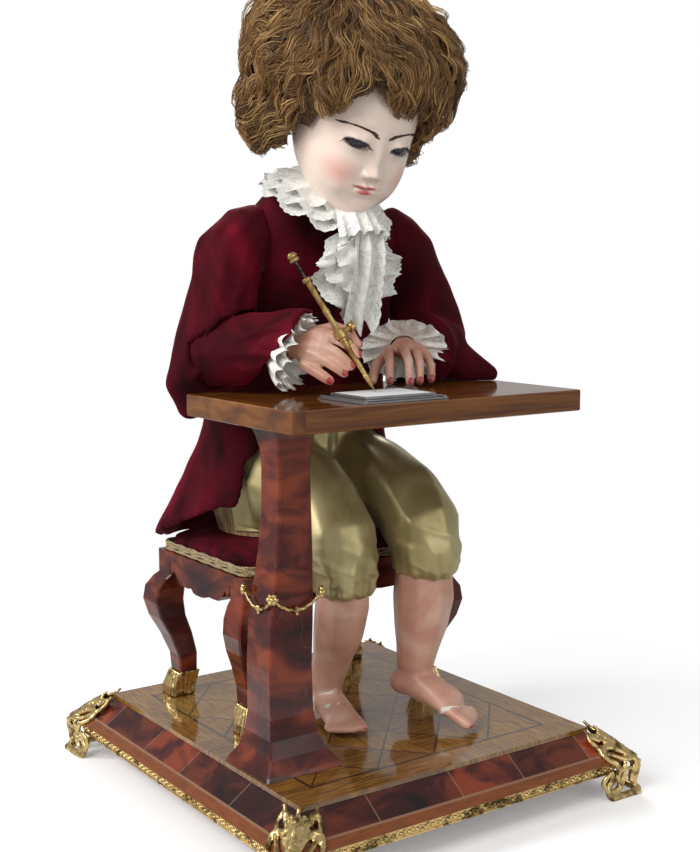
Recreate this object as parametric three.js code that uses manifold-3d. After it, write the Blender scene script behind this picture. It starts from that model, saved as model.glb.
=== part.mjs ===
// A writing automaton doll: a seated child at a small desk, on a parquetry plinth.
// Millimetres, +Z up, the doll faces -Y. The origin is the middle of the plinth's footprint, on the floor.
import * as THREE from "three";
import { mergeVertices } from "three/addons/utils/BufferGeometryUtils.js";
import Module from "manifold-3d";

const wasm = await Module();
wasm.setup();

// Clearances that every sub-assembly shares
const FIT = 0.3; // between two pieces that are fixed together
const RUN = 0.6; // between two pieces that move on each other
const OVERRUN = 20; // how far a cutting tool runs past what it cuts

// Plinth
const PLINTH_HALF_WIDTH = 152;
const PLINTH_HALF_DEPTH = 164.5;
const PLINTH_TOP = 56;
const PANEL_THICKNESS = 4;
const PLINTH_UNDERSIDE = 15;
const CARCASS_OFFSET = 12;
const STRIP_SEAT_OFFSET = 22;
const FLARE_OFFSET = 30;
const COVE_OFFSET = 14.5;
const COVE_MID_Z = 42;
const STRIP_FOOT_Z = 21.5;
const STRIP_HEIGHT = 9;
const STRIP_DEPTH = 7.5;
const STRIP_END_GAP = 24;
const MOUNT_SPREAD = 36;
const MOUNT_REACH = 40;
const MOUNT_TIP_Z = 63;

// Writing table on its one pedestal
const TABLE_HALF_WIDTH = 149;
const TABLE_FRONT_Y = -151;
const TABLE_BACK_Y = 13.5;
const TABLE_TOP = 356.5;
const TABLE_THICKNESS = 18.3;
const TABLE_CHAMFER = 0.8;
const PEDESTAL_X = -113;
const PEDESTAL_Y = -79;
const PEDESTAL_HALF_WIDTH = 36.5;
const PEDESTAL_DEPTH_SHARE = 0.92;
const PEDESTAL_CHAMFER = 1.5;
const GARLAND_Z = 201;
const GARLAND_DROP = 12;
const GARLAND_RADIUS = 1.8;
const ROSETTE_RADIUS = 5;

// Paper carriage
const CARRIAGE_X = -37;
const CARRIAGE_Y = -113;
const BED_HALF_WIDTH = 43;
const BED_HALF_DEPTH = 31;
const PLATE_STACK = 1.1; // thickness of each sheet-metal plate of the carriage
const SLIDE_GAP = 0.35;
const SLIDE_HALF_WIDTH = 38;
const SLIDE_HALF_DEPTH = 26;
const TRAY_HALF_WIDTH = 35;
const TRAY_HALF_DEPTH = 24;
const CARD_HALF_WIDTH = 33;
const CARD_HALF_DEPTH = 22;
const CARD_THICKNESS = 0.4;
const GUIDE_WIDTH = 2.4;
const GUIDE_RISE = 1.2;

// Stool
const SEAT_HALF_WIDTH = 112;
const SEAT_HALF_DEPTH = 79;
const SEAT_FRONT_Y = -15; // the stool's front stays behind the doll's legs
const STOOL_Y = SEAT_FRONT_Y + SEAT_HALF_DEPTH;
const RAIL_TOP = 197;
const RAIL_HEIGHT = 10;
const RAIL_THICKNESS = 13;
const APRON_DROP = 21;
const POST_HALF = 12;
const KNEE_BULGE = 9;
const SABOT_HEIGHT = 24;
const SABOT_WALL = 1.4;
const PAD_HEIGHT = 21;
const PAD_INSET = 3.5;
const BRAID_HEIGHT = 9;
const BRAID_THICKNESS = 1.4;

// Body of the doll: stations of the coat from the hem up
const COAT_WALL = 3.5;
const COAT_EASE = 1.5;
const SHELL_WALL = 6;
const TUCK_TOP = 390; // below this height the shell draws in, to leave room for the breeches' waist
const SEAT_CLEAR = 0.8; // between the seat pad and the doll's body
const SHELL_FOOT = RAIL_TOP + PAD_HEIGHT + SEAT_CLEAR;
const HEM_BACK_Z = 212;
const HEM_FRONT_Z = 262;
const HEM_FRONT_Y = 0;
const HEM_OVERHANG = 17; // how far the skirt hangs behind the stool
const HEM_BACK_Y = STOOL_Y + SEAT_HALF_DEPTH + HEM_OVERHANG;
const OPENING_LOW_Z = 250;
const OPENING_MID_Z = 290;
const OPENING_TOP_Z = 340;
const OPENING_HALF_WIDTH = 90;
const DOOR_HALF_WIDTH = 44;
const DOOR_FOOT = 268;
const DOOR_HEIGHT = 160;
const DOOR_GAP = 1.2;
const HINGE_RADIUS = 2.6;
const HINGE_PIN_RADIUS = 1.1;
const HINGE_LEAF = 9; // how far a hinge leaf lies over the shell
const HINGE_DEPTH = 24; // how deep a leaf reaches in from the coat
const HINGE_PROUD = 0.4; // how far the pin's middle stands out of the coat
const DOOR_DEPTH = 32; // how far in the door's opening is cut
const DOOR_SWING = 3; // room for the door's free edge to swing out
const NECK_X = -12;
const NECK_Y = 6;
const NECK_BALL_Y = -14.8;
const NECK_BALL_Z = 550;
const NECK_BALL_RADIUS = 19;
const NECK_COLUMN_RADIUS = 14;
const NECK_STEM_RADIUS = 9;

// Head, with its own axes: x to the doll's left, y backwards, z up
const HEAD_HALF_WIDTH = 50;
const HEAD_HALF_DEPTH = 57;
const HEAD_HALF_HEIGHT = 66;
const HEAD_X = -11.6;
const HEAD_Y = -38;
const HEAD_Z = 585;
const HEAD_YAW = -9.5;
const HEAD_NOD = 33;
const HEAD_ROLL = 7;
const EYE_RADIUS = 9.5;
const EYE_SPREAD = 20.5;
const EYE_RISE = 4;
const EYE_FORWARD = 43;
// Masses of the wig in the head's axes: x, y, z, half-width, half-depth, half-height
const WIG_CROWN = [-2, 33, 37, 97, 88, 68];
const WIG_RIGHT_CURLS = [-62, 22, -12, 32, 34, 34];
const WIG_LEFT_CURLS = [58, 22, -10, 24, 30, 28];
const CURL_DEPTH = 5;
const BROW_CLEAR = 33;

// Arms and hands
const SHOULDER_X = 95;
const SHOULDER_Y = 22;
const SHOULDER_Z = 468;
const SHOULDER_RADIUS = 15;
const SHOULDER_PIN_RADIUS = 4;
const ARM_RADIUS = 13;
const ELBOW_X = -117;
const ELBOW_Y = 20;
const ELBOW_Z = 391;
const ELBOW_BALL_RADIUS = 12;
const ELBOW_PIN_RADIUS = 2.5;
const ELBOW_PIN_LENGTH = 26;
const WRIST_X = -82;
const WRIST_Y = -52;
const WRIST_Z = 397;
const WRIST_BALL_RADIUS = 9;
const WRIST_RADIUS = 10.5;
const LEFT_SHOULDER_X = 79;
const LEFT_SHOULDER_Y = 16;
const LEFT_ELBOW_X = 126;
const LEFT_ELBOW_Y = 26;
const LEFT_ELBOW_Z = 391;
const LEFT_WRIST_X = 68;
const LEFT_WRIST_Y = -4;
const LEFT_WRIST_Z = 390;
const FINGER_RADIUS = 4.7;

// Pen
const PEN_TIP_X = -41;
const PEN_TIP_Y = -108;
const PEN_LENGTH = 131;
const PEN_RUN_X = -54;
const PEN_RUN_Y = 43;
const PEN_RUN_Z = 111.5;
const PEN_TUBE_RADIUS = 2.7;
const PEN_BORE_RADIUS = 1.6;
const PEN_FLANGE_RADIUS = 4.4;
const PEN_ROD_RADIUS = 1.1;
const PEN_KNOB_RADIUS = 4;
const CLAMP_WALL = 2.4;
const CLAMP_REACH = 15;

// Legs and breeches
const LEG_GAP = 0.5;
const TOE_RADIUS = 4.6;

// Sleeves and lace
const SLEEVE_WALL = 3;
const SLEEVE_BALL_RADIUS = 28;
const SWEEP_OPEN = 18;
const NECK_SWING = 8; // degrees either way that the neck turns
const SWEEP_CLOSE = 8;
const CUFF_RADIUS = 33;
const CUFF_INNER_RADIUS = 17;
const CUFF_BACK = 7;
const CUFF_FRONT = 6;
const CUFF_WAVE = 2.5;
const LACE_THICKNESS = 1.8;
const MOUTH_AT = [-86, -37, 396]; // middle of the right sleeve's slanted mouth
const MOUTH_NORMAL = [0.6, -0.42, -0.68];
const LEFT_CUFF_AT = [66, -5, 390];
const LEFT_CUFF_WAY = [-0.5, -0.84, -0.25];
const COLLAR_HALF_WIDTH = 60;
const COLLAR_HALF_DEPTH = 52;
const COLLAR_NECK_RADIUS = 30;
const COLLAR_X = -14;
const COLLAR_Y = -6;
const COLLAR_Z = 524;
const COLLAR_SLOPE = 0.55;
const COLLAR_TILT = 0.18;
const JABOT_HALF_WIDTH = 46;
const JABOT_TOP_Z = 496.8;
const JABOT_TIP_Z = 411;
const JABOT_Y = -41;
const JABOT_THICKNESS = 9;

// Movement inside the body
const MOVEMENT_Y = 62;
const MOVEMENT_RISE = 53.2; // above the body's foot
const MOVEMENT_FOOT = SHELL_FOOT + MOVEMENT_RISE;
const MOVEMENT_HEIGHT = 110;
const PLATE_HALF_WIDTH = 48;
const PLATE_HALF_DEPTH = 22;
const PLATE_THICKNESS = 3;
const PILLAR_RADIUS = 2.6;
const ARBOR_RADIUS = 1.8;
const GEAR_MODULE = 2.1;
const WHEEL_TEETH = 18;
const PINION_TEETH = 6;
const WHEEL_THICKNESS = 3;
const PINION_THICKNESS = 6;
const CAM_X = -3;
const CAM_RADIUS = 15;
const CAM_THROW = 3;
const CAM_COUNT = 5;
const CAM_PITCH = 9;
const BARREL_RADIUS = 17;
const BARREL_HEIGHT = 30;
const SELECTOR_RADIUS = 20;
const SELECTOR_PEGS = 8;
const SELECTOR_DROP = 12;
const DRUM_RISE = 10;
const FLY_HALF_SPAN = 13;

// Limbs: stations of x, y and height, then half width and half thickness; finger joints from the knuckle out
const RIGHT_FINGERS = [
  [[-71, -73, 409], [-59.5, -88, 402.5], [-54.8, -95, 397], [-52.6, -98.5, 391]],
  [[-78, -72, 402], [-66, -88, 393], [-61, -94, 387], [-57.5, -97, 382]],
  [[-82, -70, 393], [-71, -86, 385.5], [-66.5, -92, 380.5], [-62.5, -95, 376.5]],
  [[-84, -68, 384], [-79.5, -80, 378], [-76, -86, 374], [-73, -90, 371]],
];
const RIGHT_THUMB = [[-72, -62, 408], [-56, -72, 413], [-48, -82, 408], [-46.5, -91, 399]];
const LEFT_FINGERS = [
  [[44, -14, 387], [35, -24, 386], [26, -38, 378], [20, -46, 361.8]],
  [[52, -18, 389], [46, -33, 388.5], [37, -51, 380], [31, -61, 361.8]],
  [[62, -18, 388], [60, -33, 386.5], [51, -49, 378], [45, -57, 361.8]],
  [[74, -14, 384], [77, -27, 380.5], [70, -41, 374], [65, -48, 361.8]],
];
const RIGHT_LEG = [
  [-36, 26, 254, 22, 22], [-32, -6, 252, 22, 22], [-29, -32, 240, 23, 21], [-28, -42, 214, 23, 22],
  [-28, -44, 190, 24, 22], [-28, -42, 168, 25, 24], [-27, -34, 142, 23, 23], [-25, -20, 112, 17, 18],
  [-24, -10, 90, 15.5, 17],
];
const LEFT_LEG = [
  [38, 26, 254, 22, 22], [44, -20, 252, 22, 22], [48, -46, 240, 24, 22], [49, -56, 216, 26, 24],
  [50, -58, 192, 27, 25], [50, -58, 168, 28, 28], [47, -58, 144, 25, 25], [43, -58, 122, 19, 20],
  [41, -57, 106, 17, 18],
];
const RIGHT_FOOT = [
  [-22, 2, 71, 13, 13], [-24, -12, 74, 15, 16], [-27, -28, 71, 16, 13], [-31, -45, 66.5, 18.5, 9.2],
];
const LEFT_FOOT = [
  [33, -47, 90, 13, 13], [40, -60, 92, 15.5, 16], [47, -78, 85, 16.5, 13.5], [56, -94, 76, 18.5, 10],
];
const RIGHT_BREECH = [
  [-38, 40, 266, 42, 46], [-35, 8, 262, 39, 42], [-31, -22, 252, 36, 36], [-29, -44, 230, 34, 28],
  [-28, -46, 208, 33, 27.5], [-28, -46, 194, 30, 27], [-28, -45, 186, 27, 26], [-28, -44, 177, 27.5, 26.5],
];
const LEFT_BREECH = [
  [38, 40, 266, 42, 46], [42, 0, 262, 39, 42], [46, -34, 252, 37, 37], [49, -57, 232, 36, 33],
  [50, -62, 214, 35, 33], [50, -61, 204, 33, 31], [50, -60, 197, 30, 29], [50, -59, 190, 31, 30],
];
const LEFT_THUMB = [[50, -6, 384], [32, -14, 377], [21, -22, 369], [12, -32, 362.4]];
const RIGHT_PALM = [[-79, -60, 397, 13, 9.5], [-75, -70, 397, 18.5, 9.5], [-71, -78, 397, 17.5, 8]];
const LEFT_PALM = [[67, -6, 390, 10.5, 9], [62, -16, 388, 16, 9.5], [58, -25, 386, 21, 8]];
const WRIST_NECK = 8.6;
const RIGHT_TOE_ROOT = [-32, -50, 63.8];
const LEFT_TOE_ROOT = [58, -100, 70.5];

const TURN = Math.PI * 2;
const SIDES = 12;
const ARM_SIDES = 8;

// Materials, from the photograph's colours
function paint(color, roughness, metalness = 0) {
  return new THREE.MeshStandardMaterial({ color, roughness, metalness });
}
const mahogany = paint(0x5a1a12, 0.25);
const parquet = paint(0x9a6a2c, 0.3);
const walnut = paint(0x6b3a17, 0.25);
const gilt = paint(0xc0a050, 0.3, 1);
const brass = paint(0xb89a52, 0.35, 1);
const steel = paint(0x77787c, 0.35, 1);
const paper = paint(0xf1f1ee, 0.8);
const velvet = paint(0x5d0c1a, 0.9);
const satin = paint(0x9c915c, 0.35);
const lace = paint(0xf2f0e6, 0.85);
const carvedWood = paint(0xb08a5a, 0.6);
const paintedSkin = paint(0xd9a48e, 0.4);
const face = paint(0xf2ddd0, 0.25);
const hair = paint(0x7a5a34, 0.7);
const eyeGlass = paint(0x15141c, 0.1);

// Solids
function solidOf(geometry) {
  const bare = geometry.clone();
  for (const name of Object.keys(bare.attributes)) if (name !== "position") bare.deleteAttribute(name);
  const merged = mergeVertices(bare, 1e-4);
  const vertProperties = merged.attributes.position.array;
  const triVerts = new Uint32Array(merged.index.array);
  const made = new wasm.Manifold(new wasm.Mesh({ numProp: 3, vertProperties, triVerts }));
  if (made.volume() >= 0) return made;
  for (let i = 0; i < triVerts.length; i += 3) {
    [triVerts[i + 1], triVerts[i + 2]] = [triVerts[i + 2], triVerts[i + 1]];
  }
  return new wasm.Manifold(new wasm.Mesh({ numProp: 3, vertProperties, triVerts }));
}

function geometryOf(solid) {
  const mesh = solid.getMesh();
  const points = new Float32Array(mesh.numVert * 3);
  for (let i = 0; i < mesh.numVert; i++) {
    points.set(mesh.vertProperties.subarray(i * mesh.numProp, i * mesh.numProp + 3), i * 3);
  }
  return new THREE.BufferGeometry()
    .setAttribute("position", new THREE.BufferAttribute(points, 3))
    .setIndex(new THREE.BufferAttribute(mesh.triVerts, 1));
}

const vec = (x, y, z) => new THREE.Vector3(x, y, z);
const mix = (a, b, t) => a + (b - a) * t;
const join = (solids) => solids.reduce((all, one) => all.add(one));

// The largest body of a solid, for a cut that leaves crumbs
function mainBody(solid) {
  return solid.decompose().reduce((best, one) => (one.volume() > best.volume() ? one : best));
}

// A closed body skinned over rings that all have the same number of points
function skin(rings) {
  const count = rings[0].length;
  const points = rings.flat();
  const faces = [];
  for (let r = 0; r + 1 < rings.length; r++) {
    for (let i = 0; i < count; i++) {
      const [a, b] = [r * count + i, r * count + ((i + 1) % count)];
      faces.push(a, b, b + count, a, b + count, a + count);
    }
  }
  for (const [r, flip] of [[0, true], [rings.length - 1, false]]) {
    const centre = rings[r].reduce((sum, p) => sum.add(p), vec(0, 0, 0)).divideScalar(count);
    points.push(centre);
    for (let i = 0; i < count; i++) {
      const [a, b] = [r * count + i, r * count + ((i + 1) % count)];
      faces.push(points.length - 1, flip ? b : a, flip ? a : b);
    }
  }
  const geometry = new THREE.BufferGeometry().setFromPoints(points);
  geometry.setIndex(faces);
  return solidOf(geometry);
}

// A closed ring-shaped body skinned over sections placed round a loop
function hoop(sections) {
  const count = sections[0].length;
  const faces = [];
  sections.forEach((_, s) => {
    for (let i = 0; i < count; i++) {
      const next = ((s + 1) % sections.length) * count;
      const [a, b] = [s * count + i, s * count + ((i + 1) % count)];
      const [c, d] = [next + i, next + ((i + 1) % count)];
      faces.push(a, b, d, a, d, c);
    }
  });
  const geometry = new THREE.BufferGeometry().setFromPoints(sections.flat());
  geometry.setIndex(faces);
  return solidOf(geometry);
}

// A level ring, rounder or squarer as the power says, its radius scaled by ripple(angle)
function levelRing(x, y, z, halfWidth, halfDepth, count, power = 2, ripple = () => 1) {
  return Array.from({ length: count }, (_, i) => {
    const angle = (TURN * i) / count - TURN / 4;
    const [c, s] = [Math.cos(angle), Math.sin(angle)];
    const squared = (v) => Math.sign(v) * Math.abs(v) ** (2 / power);
    const r = ripple(angle);
    return vec(x + halfWidth * squared(c) * r, y + halfDepth * squared(s) * r, z);
  });
}

// A rounded limb along stations {at, wide, thick}; side sets which way it is wide
function limb(stations, count, side = vec(1, 0, 0), rounded = true) {
  const rings = [];
  const ringAt = (at, along, wide, thick) => {
    const across = side.clone().addScaledVector(along, -side.dot(along)).normalize();
    const over = along.clone().cross(across);
    rings.push(
      Array.from({ length: count }, (_, i) => {
        const angle = (TURN * i) / count;
        return at.clone()
          .addScaledVector(across, Math.cos(angle) * wide)
          .addScaledVector(over, Math.sin(angle) * thick);
      }),
    );
  };
  stations.forEach(({ at, wide, thick = wide }, i) => {
    const before = stations[Math.max(i - 1, 0)].at;
    const after = stations[Math.min(i + 1, stations.length - 1)].at;
    const along = after.clone().sub(before).normalize();
    const capShare = 0.62;
    if (rounded && i === 0) {
      ringAt(at.clone().addScaledVector(along, -thick * capShare), along, wide * capShare, thick * capShare);
    }
    ringAt(at, along, wide, thick);
    if (rounded && i === stations.length - 1) {
      ringAt(at.clone().addScaledVector(along, thick * capShare), along, wide * capShare, thick * capShare);
    }
  });
  return skin(rings);
}

function box(lowX, highX, lowY, highY, lowZ, highZ) {
  const geometry = new THREE.BoxGeometry(highX - lowX, highY - lowY, highZ - lowZ);
  geometry.translate((lowX + highX) / 2, (lowY + highY) / 2, (lowZ + highZ) / 2);
  return solidOf(geometry);
}

// A turned piece between two points, from shares along it and radii
function turned(from, to, profile, count = SIDES) {
  const along = to.clone().sub(from);
  const aim = new THREE.Quaternion().setFromUnitVectors(vec(0, 0, 1), along.clone().normalize());
  const rings = profile.map(([share, radius]) =>
    Array.from({ length: count }, (_, i) => {
      const angle = (TURN * i) / count;
      return vec(Math.cos(angle) * radius, Math.sin(angle) * radius, 0)
        .applyQuaternion(aim)
        .addScaledVector(along, share)
        .add(from);
    }),
  );
  return skin(rings);
}

const rod = (from, to, radius, count = SIDES) => turned(from, to, [[0, radius], [1, radius]], count);

function ball(centre, radius, wide = 12, tall = 8) {
  const geometry = new THREE.SphereGeometry(radius, wide, tall);
  geometry.rotateX(Math.PI / 2);
  geometry.translate(centre.x, centre.y, centre.z);
  return solidOf(geometry);
}

const root = new THREE.Group();
function add(name, solid, material, parent = root) {
  const mesh = new THREE.Mesh(geometryOf(solid), material);
  mesh.name = name;
  parent.add(mesh);
  return mesh;
}

// A level eight-sided outline: a rectangle with its corners taken off
function boxRing(x, y, z, halfWidth, halfDepth, chamfer) {
  const corners = [[-1, -1], [1, -1], [1, 1], [-1, 1]];
  return corners.flatMap(([sx, sy]) => {
    const alongX = vec(x + sx * (halfWidth - chamfer), y + sy * halfDepth, z);
    const alongY = vec(x + sx * halfWidth, y + sy * (halfDepth - chamfer), z);
    return sx === sy ? [alongY, alongX] : [alongX, alongY];
  });
}

// A flat outline given as [x, y] pairs, raised between two heights
function plate(outline, lowZ, highZ) {
  const shape = new THREE.Shape(outline.map(([x, y]) => new THREE.Vector2(x, y)));
  const geometry = new THREE.ExtrudeGeometry(shape, { depth: highZ - lowZ, bevelEnabled: false });
  geometry.translate(0, 0, lowZ);
  return solidOf(geometry);
}

// Plinth: core, veneered panel, four strips and four corner mounts
function plinthBody(grow) {
  const offsets = [
    [PLINTH_UNDERSIDE, CARCASS_OFFSET],
    [STRIP_FOOT_Z - FIT, CARCASS_OFFSET],
    [STRIP_FOOT_Z, STRIP_SEAT_OFFSET],
    [STRIP_FOOT_Z + STRIP_HEIGHT + FIT, STRIP_SEAT_OFFSET],
    [STRIP_FOOT_Z + STRIP_HEIGHT + 2 * FIT, FLARE_OFFSET],
    [mix(STRIP_FOOT_Z + STRIP_HEIGHT, COVE_MID_Z, 0.35), mix(FLARE_OFFSET, COVE_OFFSET, 0.3)],
    [COVE_MID_Z, COVE_OFFSET],
    [PLINTH_TOP - PANEL_THICKNESS - FIT + grow, FIT],
  ];
  return skin(
    offsets.map(([z, offset]) => {
      const out = offset + grow;
      return boxRing(0, 0, z, PLINTH_HALF_WIDTH + out, PLINTH_HALF_DEPTH + out, PEDESTAL_CHAMFER);
    }),
  );
}
const plinthCore = plinthBody(0);
add("plinth_core", plinthCore, mahogany);
const panelFoot = PLINTH_TOP - PANEL_THICKNESS;
add(
  "plinth_top_panel",
  box(-PLINTH_HALF_WIDTH, PLINTH_HALF_WIDTH, -PLINTH_HALF_DEPTH, PLINTH_HALF_DEPTH, panelFoot, PLINTH_TOP),
  parquet,
);

// A gilt strip along one side: a half-round bead over a flat fillet
function giltStrip(halfLength, grow = 0) {
  const rings = [-1, 1].map((end) => {
    const profile = [[0, 0], [0.55, 0], [0.85, 0.14], [1, 0.4], [1, 0.62], [0.8, 0.88], [0.4, 1], [0, 1]];
    return profile.map(([out, up]) =>
      vec(
        end * (halfLength + grow),
        STRIP_SEAT_OFFSET + FIT + mix(-grow, STRIP_DEPTH + grow, out),
        STRIP_FOOT_Z + mix(-grow, STRIP_HEIGHT + grow, up),
      ),
    );
  });
  return skin(rings);
}
const alongSide = PLINTH_HALF_WIDTH + FLARE_OFFSET - STRIP_END_GAP;
const alongEnd = PLINTH_HALF_DEPTH + FLARE_OFFSET - STRIP_END_GAP;
const STRIPS = [
  ["gilt_strip_back", alongSide, PLINTH_HALF_DEPTH, 0],
  ["gilt_strip_left", alongEnd, PLINTH_HALF_WIDTH, -90],
  ["gilt_strip_front", alongSide, PLINTH_HALF_DEPTH, 180],
  ["gilt_strip_right", alongEnd, PLINTH_HALF_WIDTH, 90],
];
const placedStrip = ([, half, away, turn], grow) =>
  giltStrip(half, grow).translate([0, away, 0]).rotate([0, 0, turn]);
for (const strip of STRIPS) add(strip[0], placedStrip(strip, 0), gilt);
const stripTool = join(STRIPS.map((strip) => placedStrip(strip, FIT)));

// A rocaille corner mount: plume, shell, two leaf arms and two scroll feet
function cornerMount(sx, sy) {
  const out = (side, reach, up) =>
    vec(
      sx * (PLINTH_HALF_WIDTH + (reach - sy * sx * side) * Math.SQRT1_2),
      sy * (PLINTH_HALF_DEPTH + (reach + sy * sx * side) * Math.SQRT1_2),
      up,
    );
  const across = vec(-sx, sy, 0).normalize();
  const tall = MOUNT_TIP_Z;
  const piece = (list) =>
    limb(list.map(([side, reach, up, wide, thick]) => ({ at: out(side, reach, up), wide, thick })), 5, across);
  const leafWide = MOUNT_REACH * 0.3;
  const leafThick = MOUNT_REACH * 0.13;
  const stem = [
    [0, MOUNT_REACH * 0.2, tall * 0.96, leafWide * 0.35, leafThick * 0.7],
    [0, MOUNT_REACH * 0.5, tall * 0.78, leafWide * 1.15, leafThick],
    [0, MOUNT_REACH * 1.06, tall * 0.5, leafWide * 0.9, leafThick * 1.2],
    [0, MOUNT_REACH * 1.18, tall * 0.3, leafWide * 1.15, leafThick * 1.3],
    [0, MOUNT_REACH * 1.08, tall * 0.05, leafWide * 0.9, leafThick * 1.3],
  ];
  const pieces = [piece(stem)];
  for (const hand of [-1, 1]) {
    const arm = [
      [0, MOUNT_REACH * 1.0, tall * 0.44, leafThick, leafThick],
      [hand * MOUNT_SPREAD * 0.6, MOUNT_REACH * 0.7, tall * 0.58, leafThick * 1.2, leafThick * 1.2],
      [hand * MOUNT_SPREAD * 1.15, MOUNT_REACH * 0.16, tall * 0.4, leafThick, leafThick],
    ];
    const scroll = [
      [0, MOUNT_REACH * 1.12, tall * 0.28, leafThick, leafThick],
      [hand * MOUNT_SPREAD * 0.62, MOUNT_REACH * 0.86, tall * 0.3, leafThick * 1.3, leafThick],
      [hand * MOUNT_SPREAD * 0.5, MOUNT_REACH * 0.74, tall * 0.06, leafThick * 1.5, leafThick * 1.4],
      [0, MOUNT_REACH * 1.05, tall * 0.04, leafThick * 1.4, leafThick * 1.4],
    ];
    pieces.push(piece(arm), piece(scroll));
  }
  const reach = PLINTH_HALF_DEPTH * 2;
  const aboveFloor = box(-reach, reach, -reach, reach, 0, MOUNT_TIP_Z);
  return mainBody(join(pieces).intersect(aboveFloor).subtract(plinthBody(FIT)).subtract(panelTool)
    .subtract(stripTool));
}
const panelTool = box(
  -PLINTH_HALF_WIDTH - FIT, PLINTH_HALF_WIDTH + FIT,
  -PLINTH_HALF_DEPTH - FIT, PLINTH_HALF_DEPTH + FIT,
  panelFoot - FIT, PLINTH_TOP + FIT,
);
for (const [name, sx, sy] of [
  ["corner_mount_front_right", -1, -1],
  ["corner_mount_front_left", 1, -1],
  ["corner_mount_back_right", -1, 1],
  ["corner_mount_back_left", 1, 1],
]) {
  add(name, cornerMount(sx, sy), gilt);
}

// Table top and pedestal
const tableUnder = TABLE_TOP - TABLE_THICKNESS;
const tableMidY = (TABLE_FRONT_Y + TABLE_BACK_Y) / 2;
const tableHalfDepth = (TABLE_BACK_Y - TABLE_FRONT_Y) / 2;
add(
  "table_top",
  skin(
    [[0, TABLE_CHAMFER], [TABLE_CHAMFER, 0], [TABLE_THICKNESS - TABLE_CHAMFER, 0], [TABLE_THICKNESS, TABLE_CHAMFER]]
      .map(([up, inset]) => {
        const [w, d] = [TABLE_HALF_WIDTH - inset, tableHalfDepth - inset];
        return boxRing(0, tableMidY, tableUnder + up, w, d, TABLE_CHAMFER);
      }),
  ),
  walnut,
);
// Shares of the pedestal's height, half-width and sideways sweep, from the foot up
const PEDESTAL_PROFILE = [
  [0, 1, 0], [0.012, 0.96, 0], [0.05, 0.76, -0.02], [0.1, 0.64, -0.05], [0.16, 0.57, -0.08], [0.3, 0.56, -0.1],
  [0.43, 0.555, -0.06], [0.52, 0.52, 0.0], [0.62, 0.475, 0.07], [0.74, 0.43, 0.11], [0.88, 0.42, 0.1],
  [0.93, 0.44, 0.09], [0.965, 0.5, 0.08], [1, 0.6, 0.08],
];
function pedestalBody(grow) {
  const foot = PLINTH_TOP + FIT;
  const height = tableUnder - FIT - foot;
  return skin(
    PEDESTAL_PROFILE.map(([up, wide, sweep]) => {
      const half = PEDESTAL_HALF_WIDTH * wide;
      const [w, d] = [half + grow, half * PEDESTAL_DEPTH_SHARE + grow];
      const x = PEDESTAL_X + PEDESTAL_HALF_WIDTH * sweep;
      return boxRing(x, PEDESTAL_Y, foot + height * up, w, d, PEDESTAL_CHAMFER);
    }),
  );
}
add("table_pedestal", pedestalBody(0), mahogany);

// A gilt garland round the pedestal with a rosette low on each face
const garlandHalf = PEDESTAL_HALF_WIDTH * 0.54 + FIT;
const garlandDepth = garlandHalf * PEDESTAL_DEPTH_SHARE;
const garlandLoop = [];
const garlandSteps = 4;
for (const [fromX, fromY, toX, toY] of [[-1, -1, 1, -1], [1, -1, 1, 1], [1, 1, -1, 1], [-1, 1, -1, -1]]) {
  for (let i = 0; i < garlandSteps; i++) {
    const t = i / garlandSteps;
    const swag = Math.sin(Math.PI * t) ** 2;
    garlandLoop.push(
      vec(
        PEDESTAL_X + mix(fromX, toX, t) * (garlandHalf + GARLAND_RADIUS),
        PEDESTAL_Y + mix(fromY, toY, t) * (garlandDepth + GARLAND_RADIUS),
        GARLAND_Z - GARLAND_DROP * swag,
      ),
    );
  }
}
const garlandCord = hoop(
  garlandLoop.map((at, i) => {
    const ahead = garlandLoop[(i + 1) % garlandLoop.length];
    const behind = garlandLoop[(i + garlandLoop.length - 1) % garlandLoop.length];
    const along = ahead.clone().sub(behind).normalize();
    const over = vec(0, 0, 1).addScaledVector(along, -along.z).normalize();
    const side = along.clone().cross(over);
    return Array.from({ length: 5 }, (_, k) => {
      const angle = (TURN * k) / 5;
      return at.clone()
        .addScaledVector(over, Math.cos(angle) * GARLAND_RADIUS)
        .addScaledVector(side, Math.sin(angle) * GARLAND_RADIUS);
    });
  }),
);
const rosettes = [[0, -1], [1, 0], [0, 1], [-1, 0]].map(([fx, fy]) => {
  const at = vec(
    PEDESTAL_X + fx * (garlandHalf + GARLAND_RADIUS / 2),
    PEDESTAL_Y + fy * (garlandDepth + GARLAND_RADIUS / 2),
    GARLAND_Z - GARLAND_DROP,
  );
  const outward = vec(fx, fy, 0).multiplyScalar(ROSETTE_RADIUS * 0.9);
  return turned(at, at.clone().add(outward), [[0, ROSETTE_RADIUS], [0.5, ROSETTE_RADIUS], [1, ROSETTE_RADIUS * 0.4]], 8);
});
add("pedestal_garland", mainBody(join([garlandCord, ...rosettes]).subtract(pedestalBody(FIT))), gilt);

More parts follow.
